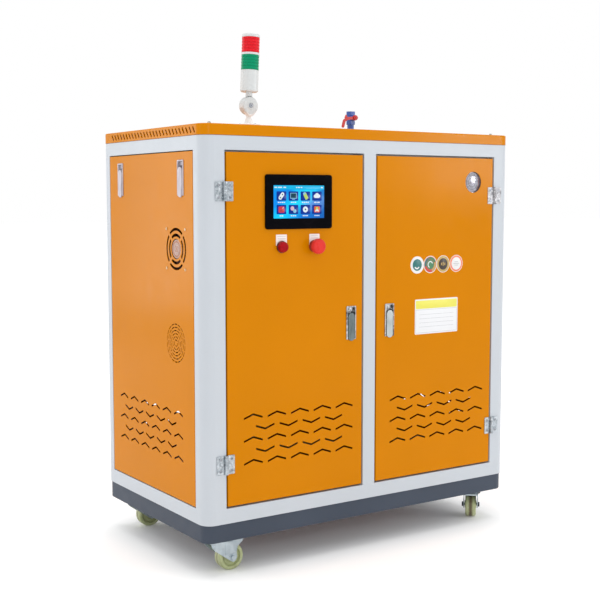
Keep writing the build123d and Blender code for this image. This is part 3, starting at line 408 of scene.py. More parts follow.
def lens(name, col, rib, h0):
    """Ribbed signal lens: lighter and darker bands at the rib spacing, painted highlight and shade on the ribs; bulbs
    of light behind.
    """
    f = Finish(name)
    f0 = ALONG[0] * TX / 1000 + ALONG[2] * KZ / 1000 + h0 / 1000
    h = f.calc("ADD", f.calc("MULTIPLY", f.axis(0), ALONG[0]), f.calc("MULTIPLY", f.axis(2), ALONG[2]))
    # Painted highlight and shade: the colour turns lighter and darker with each rib
    band = f.calc("SINE", f.calc("MULTIPLY", f.calc("SUBTRACT", h, f0), 2 * math.pi / rib))
    band = f.span(band, -1.0, 1.0, 0.0, 1.0)
    cloud = f.noise(38.0, 3.0)
    shade = f.blend(band, tone(col, 1.1), tone(col, 0.84))
    shade = f.blend(f.span(cloud, 0.3, 0.7, 0.0, 0.3), shade, tone(col, 0.8))
    f.colour(shade)
    f.rough(f.span(f.noise(90.0, 3.0), 0.3, 0.7, 0.05, 0.10))
    f.b.inputs["Specular IOR Level"].default_value = 0.12
    f.b.inputs["Subsurface Weight"].default_value = 0.12
    f.b.inputs["Subsurface Radius"].default_value = (0.004, 0.004, 0.004)
    f.link(shade, f.b.inputs["Emission Color"])
    f.b.inputs["Emission Strength"].default_value = 0.08
    f.bump(f.noise(160.0, 2.0), 0.05, 0.0004)
    return f.m


M["lens_green"] = lens("lens_green", (0.0, 0.235, 0.110), 39.5 / 5 / 1000, H_GREEN)
M["lens_red"] = lens("lens_red", (0.62, 0.010, 0.018), 40.0 / 5 / 1000, H_RED)

TRAIL, WHEEL_R = 20.0, 37.0
CASTERS = {
    "front_left": (fx(84.0), fy(60.0), 0.0),
    "front_right": (fx(976.0), fy(60.0), 47.3),
    "rear_left": (fx(84.0), fy(547.0), 0.0),
    "rear_right": (fx(976.0), fy(547.0), 20.0),
}


def tyre(name, cx, cy, yaw, band=1.0):
    """Cast polyurethane wheel with dark patches that grow stronger towards its bottom, and a dirty parting line round
    its middle.
    """
    f = Finish(name)
    c, s = math.cos(math.radians(yaw)), math.sin(math.radians(yaw))
    side = f.calc("ADD", f.calc("MULTIPLY", f.axis(0), -s), f.calc("MULTIPLY", f.axis(1), c))
    side = f.calc("ABSOLUTE", f.calc("SUBTRACT", side, (-cx * s + cy * c) / 1000))
    part = f.span(f.calc("ADD", side, f.span(f.noise(120.0, 2.0), 0, 1, -0.0006 * band, 0.0006 * band)), 0.0008 * band, 0.0026 * band, 0.85, 0.0)
    grime = f.noise(55.0, 6.0, 0.68, None, 0.4)
    base = f.blend(f.span(f.noise(14.0, 3.0), 0.3, 0.7, 0.0, 1.0), (0.36, 0.40, 0.19), (0.52, 0.55, 0.32))
    # The dark patches grow stronger towards the bottom of the wheel
    low = f.span(f.axis(2), 0.0, 0.05, 0.55, 0.12)
    base = f.blend(f.calc("MULTIPLY", f.span(grime, 0.42, 0.68, 0.0, 1.0), low), base, (0.10, 0.09, 0.055))
    f.colour(f.blend(part, base, (0.075, 0.034, 0.014)))
    f.rough(f.span(grime, 0.3, 0.7, 0.32, 0.55))
    f.b.inputs["Subsurface Weight"].default_value = 0.15
    f.b.inputs["Subsurface Radius"].default_value = (0.006, 0.006, 0.003)
    f.bump(grime, 0.18, 0.0006)
    return f.m


for side, (cx, cy, yaw) in CASTERS.items():
    M[side + "_wheel"] = tyre(side + "_wheel_pu", cx, cy, yaw, 3.0 if side == "front_right" else 1.0)

# Finishes of the small pieces
SCREW = metal("screw_steel", (0.20, 0.21, 0.24), (0.48, 0.50, 0.54), 0.25, 0.45, 160.0, bump=0.1)
BRASSY = metal("screw_brassy", (0.42, 0.24, 0.10), (0.78, 0.60, 0.40), 0.22, 0.42, 160.0, bump=0.1)
CARD = plastic("card_white", (0.70, 0.71, 0.73), 0.42, 0.015, 18.0)
CARD_BAND = plastic("card_band", (0.70, 0.655, 0.085), 0.4, 0.03, 22.0)
CARD_LINE = plastic("card_line", (0.36, 0.37, 0.39), 0.5, 0.08, 90.0)
TAG = plastic("tag_white", (0.80, 0.72, 0.70), 0.38, 0.03, 50.0)
TAG_EDGE = plastic("tag_groove", (0.30, 0.20, 0.22), 0.45, 0.05, 50.0)
DIAL = plastic("dial_face", (0.62, 0.61, 0.68), 0.5, 0.22, 60.0, shine=0.08)
INK = plastic("dial_ink", (0.045, 0.045, 0.05), 0.5, 0.2, 90.0)
NEEDLE = plastic("dial_needle", (0.20, 0.09, 0.10), 0.35, 0.15, 90.0)
FAN_LABEL = plastic("fan_label", (0.44, 0.30, 0.25), 0.34, 0.32, 170.0, shine=0.15)
FAN_LABEL_2 = plastic("fan_label_band", (0.34, 0.12, 0.05), 0.34, 0.2, 120.0, shine=0.15)
HEX = metal("hex_zinc", (0.30, 0.24, 0.18), (0.55, 0.50, 0.44), 0.25, 0.42, 120.0, bump=0.1)
HUB = plastic("wheel_hub", (0.30, 0.34, 0.15), 0.4, 0.12, 60.0, dust=0.2)
GREASE = plastic("bearing_grease", (0.05, 0.045, 0.04), 0.35, 0.3, 90.0)
RUBBER = plastic("seal_rubber", (0.018, 0.018, 0.018), 0.6, 0.2, 90.0)


def glass(name):
    f = Finish(name)
    f.b.inputs["Transmission Weight"].default_value = 1.0
    f.b.inputs["IOR"].default_value = 1.4
    f.b.inputs["Base Color"].default_value = (0.97, 0.97, 1.0, 1.0)
    smear = f.noise(70.0, 5.0, 0.6)
    f.colour(f.blend(f.span(smear, 0.4, 0.7, 0.0, 0.5), (0.98, 0.98, 1.0), (0.90, 0.90, 0.95)))
    f.rough(f.span(smear, 0.35, 0.7, 0.0, 0.02))
    f.bump(f.noise(60.0, 2.0), 0.02, 0.0004)
    return f.m


GLASS = glass("gauge_glass")


def picture():
    """Lit screen ground: blue, lighter at the top, with a soft diagonal sweep of cyan."""
    f = Finish("screen_ground")
    x, z = f.axis(0), f.axis(2)
    up = f.span(z, 0.939, 1.029, 0.0, 1.0)
    across = f.span(x, fx(207) / 1000, fx(369) / 1000, 0.0, 1.0)
    sweep = f.calc("SUBTRACT", across, f.calc("MULTIPLY", up, 0.55))
    sweep = f.calc("ABSOLUTE", f.calc("SUBTRACT", f.calc("ADD", sweep, f.span(f.noise(22.0, 3.0, 0.55, None, 0.8), 0, 1, -0.22, 0.22)), 0.18))
    sweep = f.span(sweep, 0.0, 0.34, 1.0, 0.0)
    ground = f.blend(across, (0.001, 0.23, 0.80), (0.002, 0.10, 0.42))
    ground = f.blend(f.calc("MULTIPLY", up, 0.5), ground, (0.002, 0.28, 0.72))
    ground = f.blend(f.calc("MULTIPLY", sweep, 0.9), ground, (0.004, 0.66, 0.96))
    f.colour(f.blend(0.85, ground, (0.0, 0.0, 0.01)))
    f.rough(f.span(f.noise(60.0, 4.0), 0.3, 0.7, 0.08, 0.16))
    f.link(ground, f.b.inputs["Emission Color"])
    f.b.inputs["Emission Strength"].default_value = 1.0
    f.b.inputs["Specular IOR Level"].default_value = 0.1
    return f.m


def lit(name, col, var=0.1, scale=60.0, dark=0.15):
    """Lit print behind the screen's cover: glows, hardly reflects."""
    f = Finish(name)
    base = f.blend(f.span(f.noise(scale, 4.0, 0.6), 0.3, 0.7, 0.0, 1.0), tone(col, 1 - var), tone(col, 1 + var))
    f.colour(f.blend(1.0 - dark, base, (0.0, 0.0, 0.0)))
    f.link(base, f.b.inputs["Emission Color"])
    f.b.inputs["Emission Strength"].default_value = 1.0
    f.b.inputs["Specular IOR Level"].default_value = 0.1
    f.rough(f.span(f.noise(scale * 2.3, 3.0), 0.3, 0.7, 0.08, 0.18))
    f.bump(f.noise(500.0, 2.0), 0.02, 0.0003)
    return f.m


GROUND = picture()
LIT_TILE = lit("screen_tile", (0.002, 0.030, 0.26), 0.2)
LIT_BAR = lit("screen_bar", (0.004, 0.40, 0.68), 0.08, 40.0)
LIT_WHITE = lit("screen_white", (0.72, 0.80, 0.86), 0.08, 90.0, 0.05)
LIT_PALE = lit("screen_pale", (0.24, 0.50, 0.66), 0.12, 90.0)
LIT_DARK = lit("screen_dark", (0.010, 0.055, 0.09), 0.3, 120.0)
LIT_RED = lit("screen_red", (0.58, 0.035, 0.05), 0.15, 120.0)
LIT_ORANGE = lit("screen_orange", (0.66, 0.12, 0.03), 0.15, 120.0)
LIT_YELLOW = lit("screen_yellow", (0.42, 0.56, 0.12), 0.12, 120.0)
LIT_PINK = lit("screen_pink", (0.58, 0.40, 0.48), 0.12, 120.0)

# ----------------------------------------------------------------------
# Finishes on the CAD pieces
# ----------------------------------------------------------------------
for sub in frame["record"]["subparts"]:
    ob = NODES[sub["node"]]
    ob.data.materials.clear()
    ob.data.materials.append(M[sub["node"] if sub["material_slot"] == "wheel_pu" else sub["material_slot"]])


def second_finish(node, mat, test):
    """Another finish on the faces of a CAD piece that pass the test."""
    ob = NODES[node]
    ob.data.materials.append(mat)
    k = len(ob.data.materials) - 1
    for p in ob.data.polygons:
        if test(p.center * 1000.0, p.normal):
            p.material_index = k


LAMP_RING = metal("lamp_ring", (0.10, 0.02, 0.02), (0.22, 0.05, 0.05), 0.2, 0.35, 120.0)
second_finish("pilot_lamp", LAMP_RING, lambda c, n: c.y > YF - 5.2)
second_finish("caster_tops", GREASE, lambda c, n: c.z < 86.0 and math.hypot(n.x, n.y) > 0.7)

NUT = metal("axle_nut", (0.05, 0.05, 0.055), (0.14, 0.14, 0.15), 0.3, 0.5, 160.0, bump=0.12, weight=0.8)
for side, (cx, cy, yaw) in CASTERS.items():
    if side == "front_left":
        continue
    c, s = math.cos(math.radians(yaw)), math.sin(math.radians(yaw))
    second_finish(side + "_fork", NUT, lambda p, n: abs(-(p.x - cx) * s + (p.y - cy) * c) > 22.1)

# Painted shade: dark red on the cut edges of the vents, dark maroon on the gauge's tube, a darker red than the head on
# the stop button's collar
VENT_EDGE_SHADE = powder("vent_edge_painted_shade", (0.160, 0.000, 0.0), rough=0.5, peel=0.2, var=0.1, shine=0.05)
GAUGE_TUBE_SHADE = metal("gauge_tube_painted_shade", (0.030, 0.008, 0.012), (0.085, 0.030, 0.038), 0.3, 0.5, 90.0, weight=0.6)
STOP_COLLAR_SHADE = plastic("stop_collar_red_painted_shade", (0.33, 0.035, 0.02), 0.35, 0.1, 60.0, shine=0.15)
for node in ("left_door", "right_door"):
    second_finish(node, VENT_EDGE_SHADE, lambda c, n: abs(n.y) < 0.5 and YF < c.y < YF + 1.5 and 270.0 < c.z < 430.0 and (72.0 < c.x + XH < 500.0 or 558.0 < c.x + XH < 988.0))
second_finish("left_panel", VENT_EDGE_SHADE, lambda c, n: abs(n.x) < 0.5 and abs(c.x + XH) < 1.5 and 270.0 < c.z < 430.0 and YF + 60.0 < c.y < YF + 553.0)
second_finish("gauge_case", GAUGE_TUBE_SHADE, lambda c, n: YF + 1.4 < c.y < YF + 5.9)
NODES["stop_collar"].data.materials[0] = STOP_COLLAR_SHADE

# Latches: pans with painted dark and bright reflections, duller ones on the side
SATIN = metal("latch_satin", (0.36, 0.32, 0.36), (0.60, 0.56, 0.60), 0.3, 0.45, 60.0, (1, 1, 0.25), bump=0.05, weight=0.08)
SATIN.node_tree.nodes["Principled BSDF"].inputs["Specular IOR Level"].default_value = 0.12
LATCH_PAN_REFLECTION = metal("latch_pan_painted_reflection", (0.05, 0.055, 0.06), (0.78, 0.78, 0.80), 0.10, 0.25, 150.0, (1, 1, 0.6), bump=0.12)
# Paddles with painted reflection: dark on the left door, light on the right door
PADDLE_L_REFLECTION = metal("latch_paddle_left_painted_reflection", (0.09, 0.115, 0.12), (0.27, 0.32, 0.32), 0.12, 0.25, 45.0, (1, 1, 0.3), bump=0.05)
PADDLE_R_REFLECTION = metal("latch_paddle_right_painted_reflection", (0.36, 0.40, 0.40), (0.58, 0.62, 0.62), 0.12, 0.25, 45.0, (1, 1, 0.3), bump=0.05)
for node in ("left_panel_latches", "left_panel_front_paddle", "left_panel_rear_paddle", "right_panel_latches", "rear_panel_latches"):
    NODES[node].data.materials[0] = SATIN
for node in ("left_door_latch", "right_door_latch"):
    NODES[node].data.materials[0] = LATCH_PAN_REFLECTION
NODES["left_door_paddle"].data.materials[0] = PADDLE_L_REFLECTION
NODES["right_door_paddle"].data.materials[0] = PADDLE_R_REFLECTION

# Painted bright and dark reflection patches on the upper right hinge, smooth zinc on the caster forks
HINGE_REFLECTION = metal("hinge_zinc_painted_reflection", (0.08, 0.08, 0.09), (0.84, 0.84, 0.87), 0.3, 0.5, 130.0, bump=0.16, weight=0.1)
HINGE_REFLECTION.node_tree.nodes["Principled BSDF"].inputs["Specular IOR Level"].default_value = 0.15
second_finish("right_door_hinge_leaves", HINGE_REFLECTION, lambda c, n: c.z > 900.0)
second_finish("hinge_post_leaves", HINGE_REFLECTION, lambda c, n: c.z > 900.0 and c.x > 0)
PRESSED = metal("fork_zinc", (0.32, 0.38, 0.42), (0.48, 0.55, 0.59), 0.25, 0.42, 34.0, bump=0.05, weight=0.85)
for side in CASTERS:
    NODES[side + "_fork"].data.materials[0] = PRESSED

# Painted shade inside the cabinet: dark red on the inner faces; painted shade on the fan behind its guard: dark brown,
# with a little dust
INNER_SHADE = powder("inner_painted_shade", (0.130, 0.003, 0.002), rough=0.55, peel=0.2, var=0.12, shine=0.05)
second_finish("rear_panels", INNER_SHADE, lambda c, n: n.y < -0.5)
second_finish("right_panel", INNER_SHADE, lambda c, n: n.x < -0.5)
second_finish("left_panel", INNER_SHADE, lambda c, n: n.x > 0.5)
NODES["floor_pan"].data.materials[0] = INNER_SHADE
FAN_SHADE_AND_DUST = plastic("fan_plastic_painted_shade_and_dust", (0.085, 0.026, 0.014), 0.4, 0.3, 70.0, dust=0.1, shine=0.2)
for node in ("fan_housing", "fan_rotor"):
    NODES[node].data.materials[0] = FAN_SHADE_AND_DUST

# Painted light: a lighter copy of the tower's white plastic on its foot
PALE = plastic("foot_white_painted_light", (0.80, 0.78, 0.76), 0.35, 0.02)
second_finish("tower_foot", PALE, lambda c, n: c.z < KZ - 20.0)

# Painted shade on the roof's underside: orange paint, darkened; a thinner, darker coat inside the base
ROOF_UNDERSIDE_SHADE = powder("roof_underside_painted_shade", (0.26, 0.085, 0.004), rough=0.5, peel=0.2, var=0.08, shine=0.1)
SKIRT = powder("skirt_lining", (0.05, 0.055, 0.065), rough=0.5, peel=0.2, var=0.08, shine=0.1)
second_finish("roof_cap", ROOF_UNDERSIDE_SHADE, lambda c, n: n.z < -0.9 and c.z > 1170)
second_finish("base_frame", SKIRT, lambda c, n: n.z > 0.9 and c.z < 110)

# ----------------------------------------------------------------------
# Touch screen: a lit picture of plain generic icons
# ----------------------------------------------------------------------
SX, SZ = fx(288.0), 984.0
face = front(SX, SZ, 6.0)
pic = Piece("screen_picture")
pic.prism(face, rrect(161.5, 87.0, 1.5), -0.4, 0.25, GROUND, 0.1)
pic.prism(face, rrect(160.5, 10.5, 0.8, cy=37.9), 0.25, 0.4, LIT_BAR, 0.05)
for cx, w in ((-74.0, 9.0), (-61.0, 13.0), (-46.0, 8.0), (-8.0, 4.0), (-1.0, 6.0), (7.0, 5.0), (73.0, 6.0)):
    pic.prism(face, rrect(w, 2.8, 1.0, 3, cx, 38.0), 0.4, 0.55, LIT_WHITE, 0.04)
TILES = [(x, y) for y in (15.2, -20.2) for x in (-56.4, -18.4, 19.6, 57.0)]
for cx, cy in TILES:
    pic.prism(face, rrect(30.5, 24.5, 2.0, 4, cx, cy), 0.25, 0.42, LIT_TILE, 0.06)
for i, (cx, cy) in enumerate(TILES):
    widths = ((5, 4, 6, 3), (6, 3, 5), (4, 5, 4, 4), (7, 3, 5), (4, 6), (5, 5, 4), (4, 4, 6), (3, 3, 3, 3))[i]
    x = cx - (sum(widths) + 1.4 * (len(widths) - 1)) / 2
    for w in widths:
        pic.prism(face, rrect(w, 2.6, 0.7, 3, x + w / 2, cy - 16.6), 0.25, 0.42, LIT_WHITE, 0.04)
        x += w + 1.4


def tile(i):
    return TILES[i]


x, y = tile(0)
pic.prism(face, turned(rrect(22.0, 10.5, 5.2, 8), 52, x, y), 0.42, 0.62, LIT_WHITE, 0.05)
for s in (-1, 1):
    pic.prism(face, circle(1.9, 16, x + s * 3.4, y + s * 4.2), 0.62, 0.7, LIT_DARK, 0.03)
x, y = tile(1)
pic.prism(face, rrect(20.0, 15.0, 1.2, 4, x, y + 0.8), 0.42, 0.56, LIT_PALE, 0.05)
pic.prism(face, rrect(17.4, 12.0, 0.6, 3, x, y + 1.0), 0.56, 0.66, LIT_DARK, 0.03)
pic.prism(face, rrect(9.0, 1.6, 0.6, 3, x, y - 8.4), 0.42, 0.56, LIT_PALE, 0.03)
x, y = tile(2)
pic.prism(face, turned(rrect(10.0, 19.0, 3.0, 5), 28, x + 1.0, y), 0.42, 0.6, LIT_YELLOW, 0.05)
pic.prism(face, turned(rrect(7.5, 6.0, 2.4, 5), 28, x - 3.6, y + 7.0), 0.6, 0.7, LIT_PALE, 0.03)
x, y = tile(3)
for dx, dy, r in ((-5.8, -0.4, 4.6), (0.0, 2.2, 6.2), (6.2, 0.2, 4.4)):
    pic.prism(face, circle(r, 24, x + dx, y + dy), 0.42, 0.6 + dx * 0.002, LIT_WHITE, 0.05)
pic.prism(face, rrect(16.0, 5.4, 2.6, 5, x, y - 2.4), 0.42, 0.63, LIT_WHITE, 0.05)
x, y = tile(4)
pic.prism(face, rrect(18.0, 16.0, 2.4, 5, x, y), 0.42, 0.6, LIT_RED, 0.05)
pic.prism(face, turned(rrect(6.0, 2.4, 1.1, 4), 45, x + 5.0, y + 4.4), 0.6, 0.68, LIT_PINK, 0.03)
pic.prism(face, rrect(8.0, 2.0, 0.9, 4, x - 1.0, y - 3.6), 0.6, 0.68, LIT_DARK, 0.03)
x, y = tile(5)
pic.prism(face, circle(5.8, 28, x - 3.6, y + 2.8), 0.42, 0.6, LIT_PINK, 0.05)
pic.prism(face, circle(5.0, 28, x + 4.0, y - 4.2), 0.42, 0.64, LIT_PALE, 0.05)
x, y = tile(6)
pic.prism(face, circle(8.0, 32, x, y), 0.42, 0.6, LIT_WHITE, 0.05)
pic.prism(face, circle(2.2, 20, x, y), 0.6, 0.68, LIT_DARK, 0.03)
x, y = tile(7)
pic.prism(face, rrect(18.0, 16.0, 2.4, 5, x, y), 0.42, 0.6, LIT_ORANGE, 0.05)
pic.prism(face, circle(3.6, 24, x, y + 3.0), 0.6, 0.68, LIT_YELLOW, 0.03)
pic.prism(face, [(x + a, y - 6.0 + b) for a, b in ring_part(2.0, 6.2, 0, 180, 14)], 0.6, 0.68, LIT_WHITE, 0.03)
pic.done("left_door_leaf")

line = Piece("screen_frame_line")
line.rim(front(fx(290.0), 984.0, 6.0), rrect(196.0, 128.0, 5.0), rrect(194.6, 126.6, 4.4), -0.2, 0.1, M["screen_black"])
line.done("left_door_leaf")

# ----------------------------------------------------------------------
# Lamp and stop button: moulded ring, lens flutes, blank tags
# ----------------------------------------------------------------------
lamp = Piece("lamp_lens_flutes")
lf = front(fx(236.0), 865.0, 0.0)
for i in range(16):
    a = 2 * math.pi * i / 16
    lamp.prism(lf, turned(rrect(1.1, 0.9, 0.3, 2), math.degrees(a), 13.75 * math.cos(a), 13.75 * math.sin(a)), 4.8, 11.0, M["lamp_red"], 0.25)
lamp.lathe(lf, [(5.6, 15.9), (6.2, 16.25), (7.0, 16.2), (7.4, 15.7)], M["lamp_red"], 40)
lamp.done("left_door_leaf")

stop = Piece("stop_head_groove")
sf = front(fx(340.0), 865.0, 0.0)
stop.lathe(sf, [(12.2, 29.95), (12.5, 30.35), (13.3, 30.3), (13.6, 29.8)], M["stop_red"], 48)
stop.lathe(sf, [(20.4, 17.4), (20.85, 17.9), (20.85, 20.2), (20.4, 20.8)], M["stop_red"], 48)
stop.done("stop_button")

# The collar ring in the same darker red: painted shade
ring = Piece("stop_collar_ring")
ring.band(sf, 11.2, 16.4, 0.0, 1.6, STOP_COLLAR_SHADE, 48, edge=0.4)
ring.done("left_door_leaf")


def tag(name, cx, zlo, zhi, w, bx, r):
    """A blank legend tag with a notch for the button below it."""
    p = Piece(name)
    fr = front(0.0, 0.0, 0.0)
    a0 = math.asin(min(1.0, (zlo - 865.0) / r))
    half = r * math.cos(a0)
    arc = []
    for i in range(13):
        a = math.pi - a0 + (2 * a0 - math.pi) * i / 12
        arc.append((bx + r * math.cos(a), 865.0 + r * math.sin(a)))
    pts = [(cx - w / 2, zlo)] + arc + [(cx + w / 2, zlo), (cx + w / 2, zhi - 1.2), (cx + w / 2 - 1.2, zhi), (cx - w / 2 + 1.2, zhi), (cx - w / 2, zhi - 1.2)]
    p.prism(fr, pts, 0.0, 0.9, TAG, 0.2)
    for z in (zhi - 5.0, zhi - 11.0):
        p.prism(fr, rrect(w - 8.0, 0.7, 0.3, 3, cx, z), 0.85, 0.98, TAG_EDGE, 0.03)
    p.done("left_door_leaf")


tag("lamp_tag", fx(235.3), 869.0, 898.0, 34.0, fx(236.0), 16.4)
tag("stop_tag", fx(341.0), 868.0, 898.0, 33.0, fx(340.0), 16.8)

# ----------------------------------------------------------------------
# Right door: plain discs and a plain card
# ----------------------------------------------------------------------
TEAL = plastic("disc_teal", (0.012, 0.14, 0.135), 0.34, 0.08, 60.0)
GREEN = plastic("disc_green", (0.045, 0.19, 0.085), 0.34, 0.1, 60.0)
RED = plastic("disc_red", (0.50, 0.045, 0.028), 0.34, 0.08, 60.0)
GOLD = plastic("disc_gold", (0.45, 0.31, 0.10), 0.3, 0.1, 60.0)
BROWN = plastic("disc_brown", (0.032, 0.020, 0.014), 0.34, 0.2, 60.0)
CORAL = plastic("disc_coral", (0.76, 0.19, 0.10), 0.34, 0.06, 60.0)
PAPER = plastic("disc_paper", (0.70, 0.70, 0.70), 0.4, 0.03, 40.0)

discs = Piece("round_stickers")


def disc(cx, bands):
    fr = front(cx, 802.0)
    for k, (r, mat) in enumerate(bands):
        discs.lathe(fr, [(0.0, 0.02 + 0.07 * k), (r, 0.02 + 0.07 * k), (r, 0.22 + 0.07 * k), (r - 0.15, 0.3 + 0.07 * k), (0.0, 0.3 + 0.07 * k)], mat, 56)
    return fr, 0.3 + 0.07 * (len(bands) - 1)


fr, h = disc(fx(701.0), [(25.0, PAPER), (17.0, TEAL)])
for a, r in ((0.0, 9.5),):
    discs.prism(fr, [(r * math.cos(math.radians(t)) - 1.0, r * math.sin(math.radians(t)) - 3.0) for t in range(200, 341, 10)] + [(5.6 * math.cos(math.radians(t)) - 1.0, 5.6 * math.sin(math.radians(t)) - 3.0) for t in range(340, 199, -10)], h, h + 0.07, PAPER)
fr, h = disc(fx(750.0), [(25.0, PAPER), (23.0, RED)])
for k, (a0, mat) in enumerate(((20, GREEN), (110, TEAL), (200, RED), (290, GOLD))):
    discs.prism(fr, ring_part(15.0, 21.5, a0, a0 + 86), h, h + 0.07, mat)
discs.lathe(fr, [(0.0, h), (14.0, h), (14.0, h + 0.1), (0.0, h + 0.1)], GREEN, 48)
discs.prism(fr, ring_part(7.0, 10.0, 20, 250), h + 0.1, h + 0.17, PAPER)
fr, h = disc(fx(799.0), [(25.0, PAPER), (23.5, GOLD), (17.0, BROWN)])
for s in (-1, 0, 1):
    discs.prism(fr, rrect(3.2, 12.0 - 4 * abs(s), 1.4, 4, 6.4 * s, 0.0), h, h + 0.07, GOLD)
fr, h = disc(fx(850.0), [(25.0, PAPER), (23.5, CORAL), (18.5, PAPER)])
for z, w in ((5.0, 14.0), (0.0, 22.0), (-5.0, 14.0)):
    discs.prism(fr, rrect(w, 1.6, 0.7, 3, 0.0, z), h, h + 0.07, CARD_LINE)
discs.done("right_door_leaf")

card = Piece("blank_card")
cf = front(fx(775.5), 651.0)
card.prism(cf, rrect(163.0, 102.0, 3.0), 0.02, 0.45, CARD, 0.12)
card.prism(cf, rrect(157.0, 24.0, 1.6, cy=35.0), 0.45, 0.56, CARD_BAND, 0.04)
for (w, h2, cx, cy) in ((157.0, 0.8, 0.0, -47.0), (157.0, 0.8, 0.0, 20.0), (0.8, 67.0, -78.1, -13.5), (0.8, 67.0, 78.1, -13.5)):
    card.prism(cf, rrect(w, h2, 0.3, 2, cx, cy), 0.45, 0.54, CARD_LINE, 0.03)
for cy in (6.0, -6.0, -18.0, -30.0):
    card.prism(cf, rrect(132.0, 0.7, 0.3, 2, 0.0, cy), 0.45, 0.53, CARD_LINE, 0.03)
card.done("right_door_leaf")

# ----------------------------------------------------------------------
# Gauge: dial, marks, plain numbers, needle and glass
# ----------------------------------------------------------------------
gf = front(fx(914.0), 1041.0)
dial = Piece("gauge_dial")
dial.lathe(gf, [(0.0, -8.6), (29.8, -8.6), (29.8, -7.9), (29.4, -7.7), (0.0, -7.7)], DIAL, 64)
for r in (13.0, 20.6):
    dial.band(gf, r, r + 1.1, -7.8, -7.62, INK, 64, edge=0.02)
for i in range(41):
    a = math.radians(225.0 - 270.0 * i / 40)
    long = i % 8 == 0
    r0, r1 = (22.0 if long else 24.0), 26.6
    w = 1.8 if long else 0.9
    rm, ln = (r0 + r1) / 2, r1 - r0
    dial.prism(gf, turned(rrect(ln, w, 0.15, 2), math.degrees(a), rm * math.cos(a), rm * math.sin(a)), -7.7, -7.58, INK)
dial.prism(gf, ring_part(27.0, 28.4, -45, 25, 24), -7.7, -7.6, RED)
dial.done("right_door_leaf")

needle = Piece("gauge_needle")
na = math.radians(225.0 - 28.0)
needle.prism(gf, turned([(-6.0, -0.9), (0.0, -0.7), (20.0, -0.25), (21.0, 0.0), (20.0, 0.25), (0.0, 0.7), (-6.0, 0.9)], math.degrees(na)), -6.9, -6.5, NEEDLE, 0.1)
needle.lathe(gf, [(0.0, -7.7), (2.2, -7.7), (2.2, -6.2), (1.6, -5.8), (0.0, -5.6)], INK, 32)
needle.done("right_door_leaf")

glassy = Piece("gauge_glass")
glassy.lathe(gf, [(0.0, -2.4), (7.0, -2.55), (14.0, -3.0), (22.0, -3.8), (28.0, -4.7), (31.0, -5.55), (31.9, -5.6), (31.9, -4.9), (28.0, -3.9), (22.0, -3.0), (14.0, -2.2), (7.0, -1.75), (0.0, -1.6)], GLASS, 64)
glassy.done("right_door_leaf")


def numerals(name, items, size, fr, h, body, mat):
    """Plain numbers as raised print."""
    meshes = []
    for text, cx, cy in items:
        cu = bpy.data.curves.new(name + "_" + text, "FONT")
        cu.body, cu.size, cu.align_x, cu.align_y, cu.extrude = text, size, "CENTER", "CENTER", 0.04
        ob = bpy.data.objects.new(cu.name, cu)
        bpy.context.scene.collection.objects.link(ob)
        bpy.context.view_layer.update()
        me = bpy.data.meshes.new_from_object(ob.evaluated_get(bpy.context.evaluated_depsgraph_get()))
        bpy.data.objects.remove(ob)
        meshes.append((me, cx, cy))
    bm = bmesh.new()
    for me, cx, cy in meshes:
        base = len(bm.verts)
        vs = [bm.verts.new(fr.at(v.co.x + cx, v.co.y + cy, h + v.co.z)) for v in me.vertices]
        for p in me.polygons:
            try:
                bm.faces.new([vs[i] for i in p.vertices])
            except ValueError:
                pass
        bpy.data.meshes.remove(me)
    out = bpy.data.meshes.new(name)
    bm.to_mesh(out)
    bm.free()
    out.materials.append(mat)
    ob = bpy.data.objects.new(name, out)
    bpy.context.scene.collection.objects.link(ob)
    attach(ob, body)
    return ob


marks = []
for i in range(6):
    a = math.radians(225.0 - 54.0 * i)
    marks.append((str(2 * i), 17.0 * math.cos(a), 17.0 * math.sin(a)))
numerals("gauge_numbers", marks, 4.8, gf, -7.6, "right_door_leaf", INK)

# ----------------------------------------------------------------------
# Screws on the hinges, the fan guard and the tower knuckle
# ----------------------------------------------------------------------
HINGE_Z = ((1011.0, 1001.5), (301.0, 301.0))      # left and right
post = Piece("hinge_post_screws")
ldoor = Piece("left_hinge_screws")
rdoor = Piece("right_hinge_screws")
turn = 10.0
for zl, zr in HINGE_Z:
    for dz in (-15.5, 15.5):
        turn += 37.0
        post.screw(front(0, 0, 2.0), fx(62.0) - 16.6, zl + dz, 3.9, 1.5, SCREW, turn)
        post.screw(front(0, 0, 2.0), -fx(62.0) + 16.6, zr + dz, 3.9, 1.5, SCREW, turn + 15)
        ldoor.screw(front(0, 0, 2.0), fx(62.0) + 17.0, zl + dz, 3.9, 1.5, SCREW, turn + 25)
        rdoor.screw(front(0, 0, 2.0), -fx(62.0) - 17.0, zr + dz, 3.9, 1.5, SCREW, turn + 50)
post.done("cabinet")
ldoor.done("left_door_leaf")
rdoor.done("right_door_leaf")

fan = Piece("fan_guard_screws")
for dy in (-52.5, 52.5):
    for dz in (-52.5, 52.5):
        turn += 31.0
        fan.screw(left(fy(148.0), 860.0), dy, dz, 4.0, 2.2, BRASSY, turn)
fan.done("cabinet")

hub = Piece("fan_hub_label")
hf = Flat((-XH + 7.0, fy(148.0), 860.0), (0, -1, 0), (0, 0, 1), (-1, 0, 0))
hub.lathe(hf, [(0.0, -0.1), (25.4, -0.1), (25.4, 4.6), (25.1, 5.3), (24.2, 5.6), (0.0, 5.6)], FAN_LABEL, 56)
hub.band(hf, 17.8, 20.8, 5.55, 5.68, FAN_LABEL_2, 56, edge=0.04)
for s in (-1, 1):
    hub.prism(hf, rrect(19.0, 2.0, 0.9, 3, 0.0, s * 5.4), 5.58, 5.68, FAN_LABEL_2, 0.03)
hub.prism(hf, rrect(11.0, 2.6, 1.1, 3, 0.0, 0.0), 5.58, 5.68, FAN_LABEL_2, 0.03)
hub.done("fan")

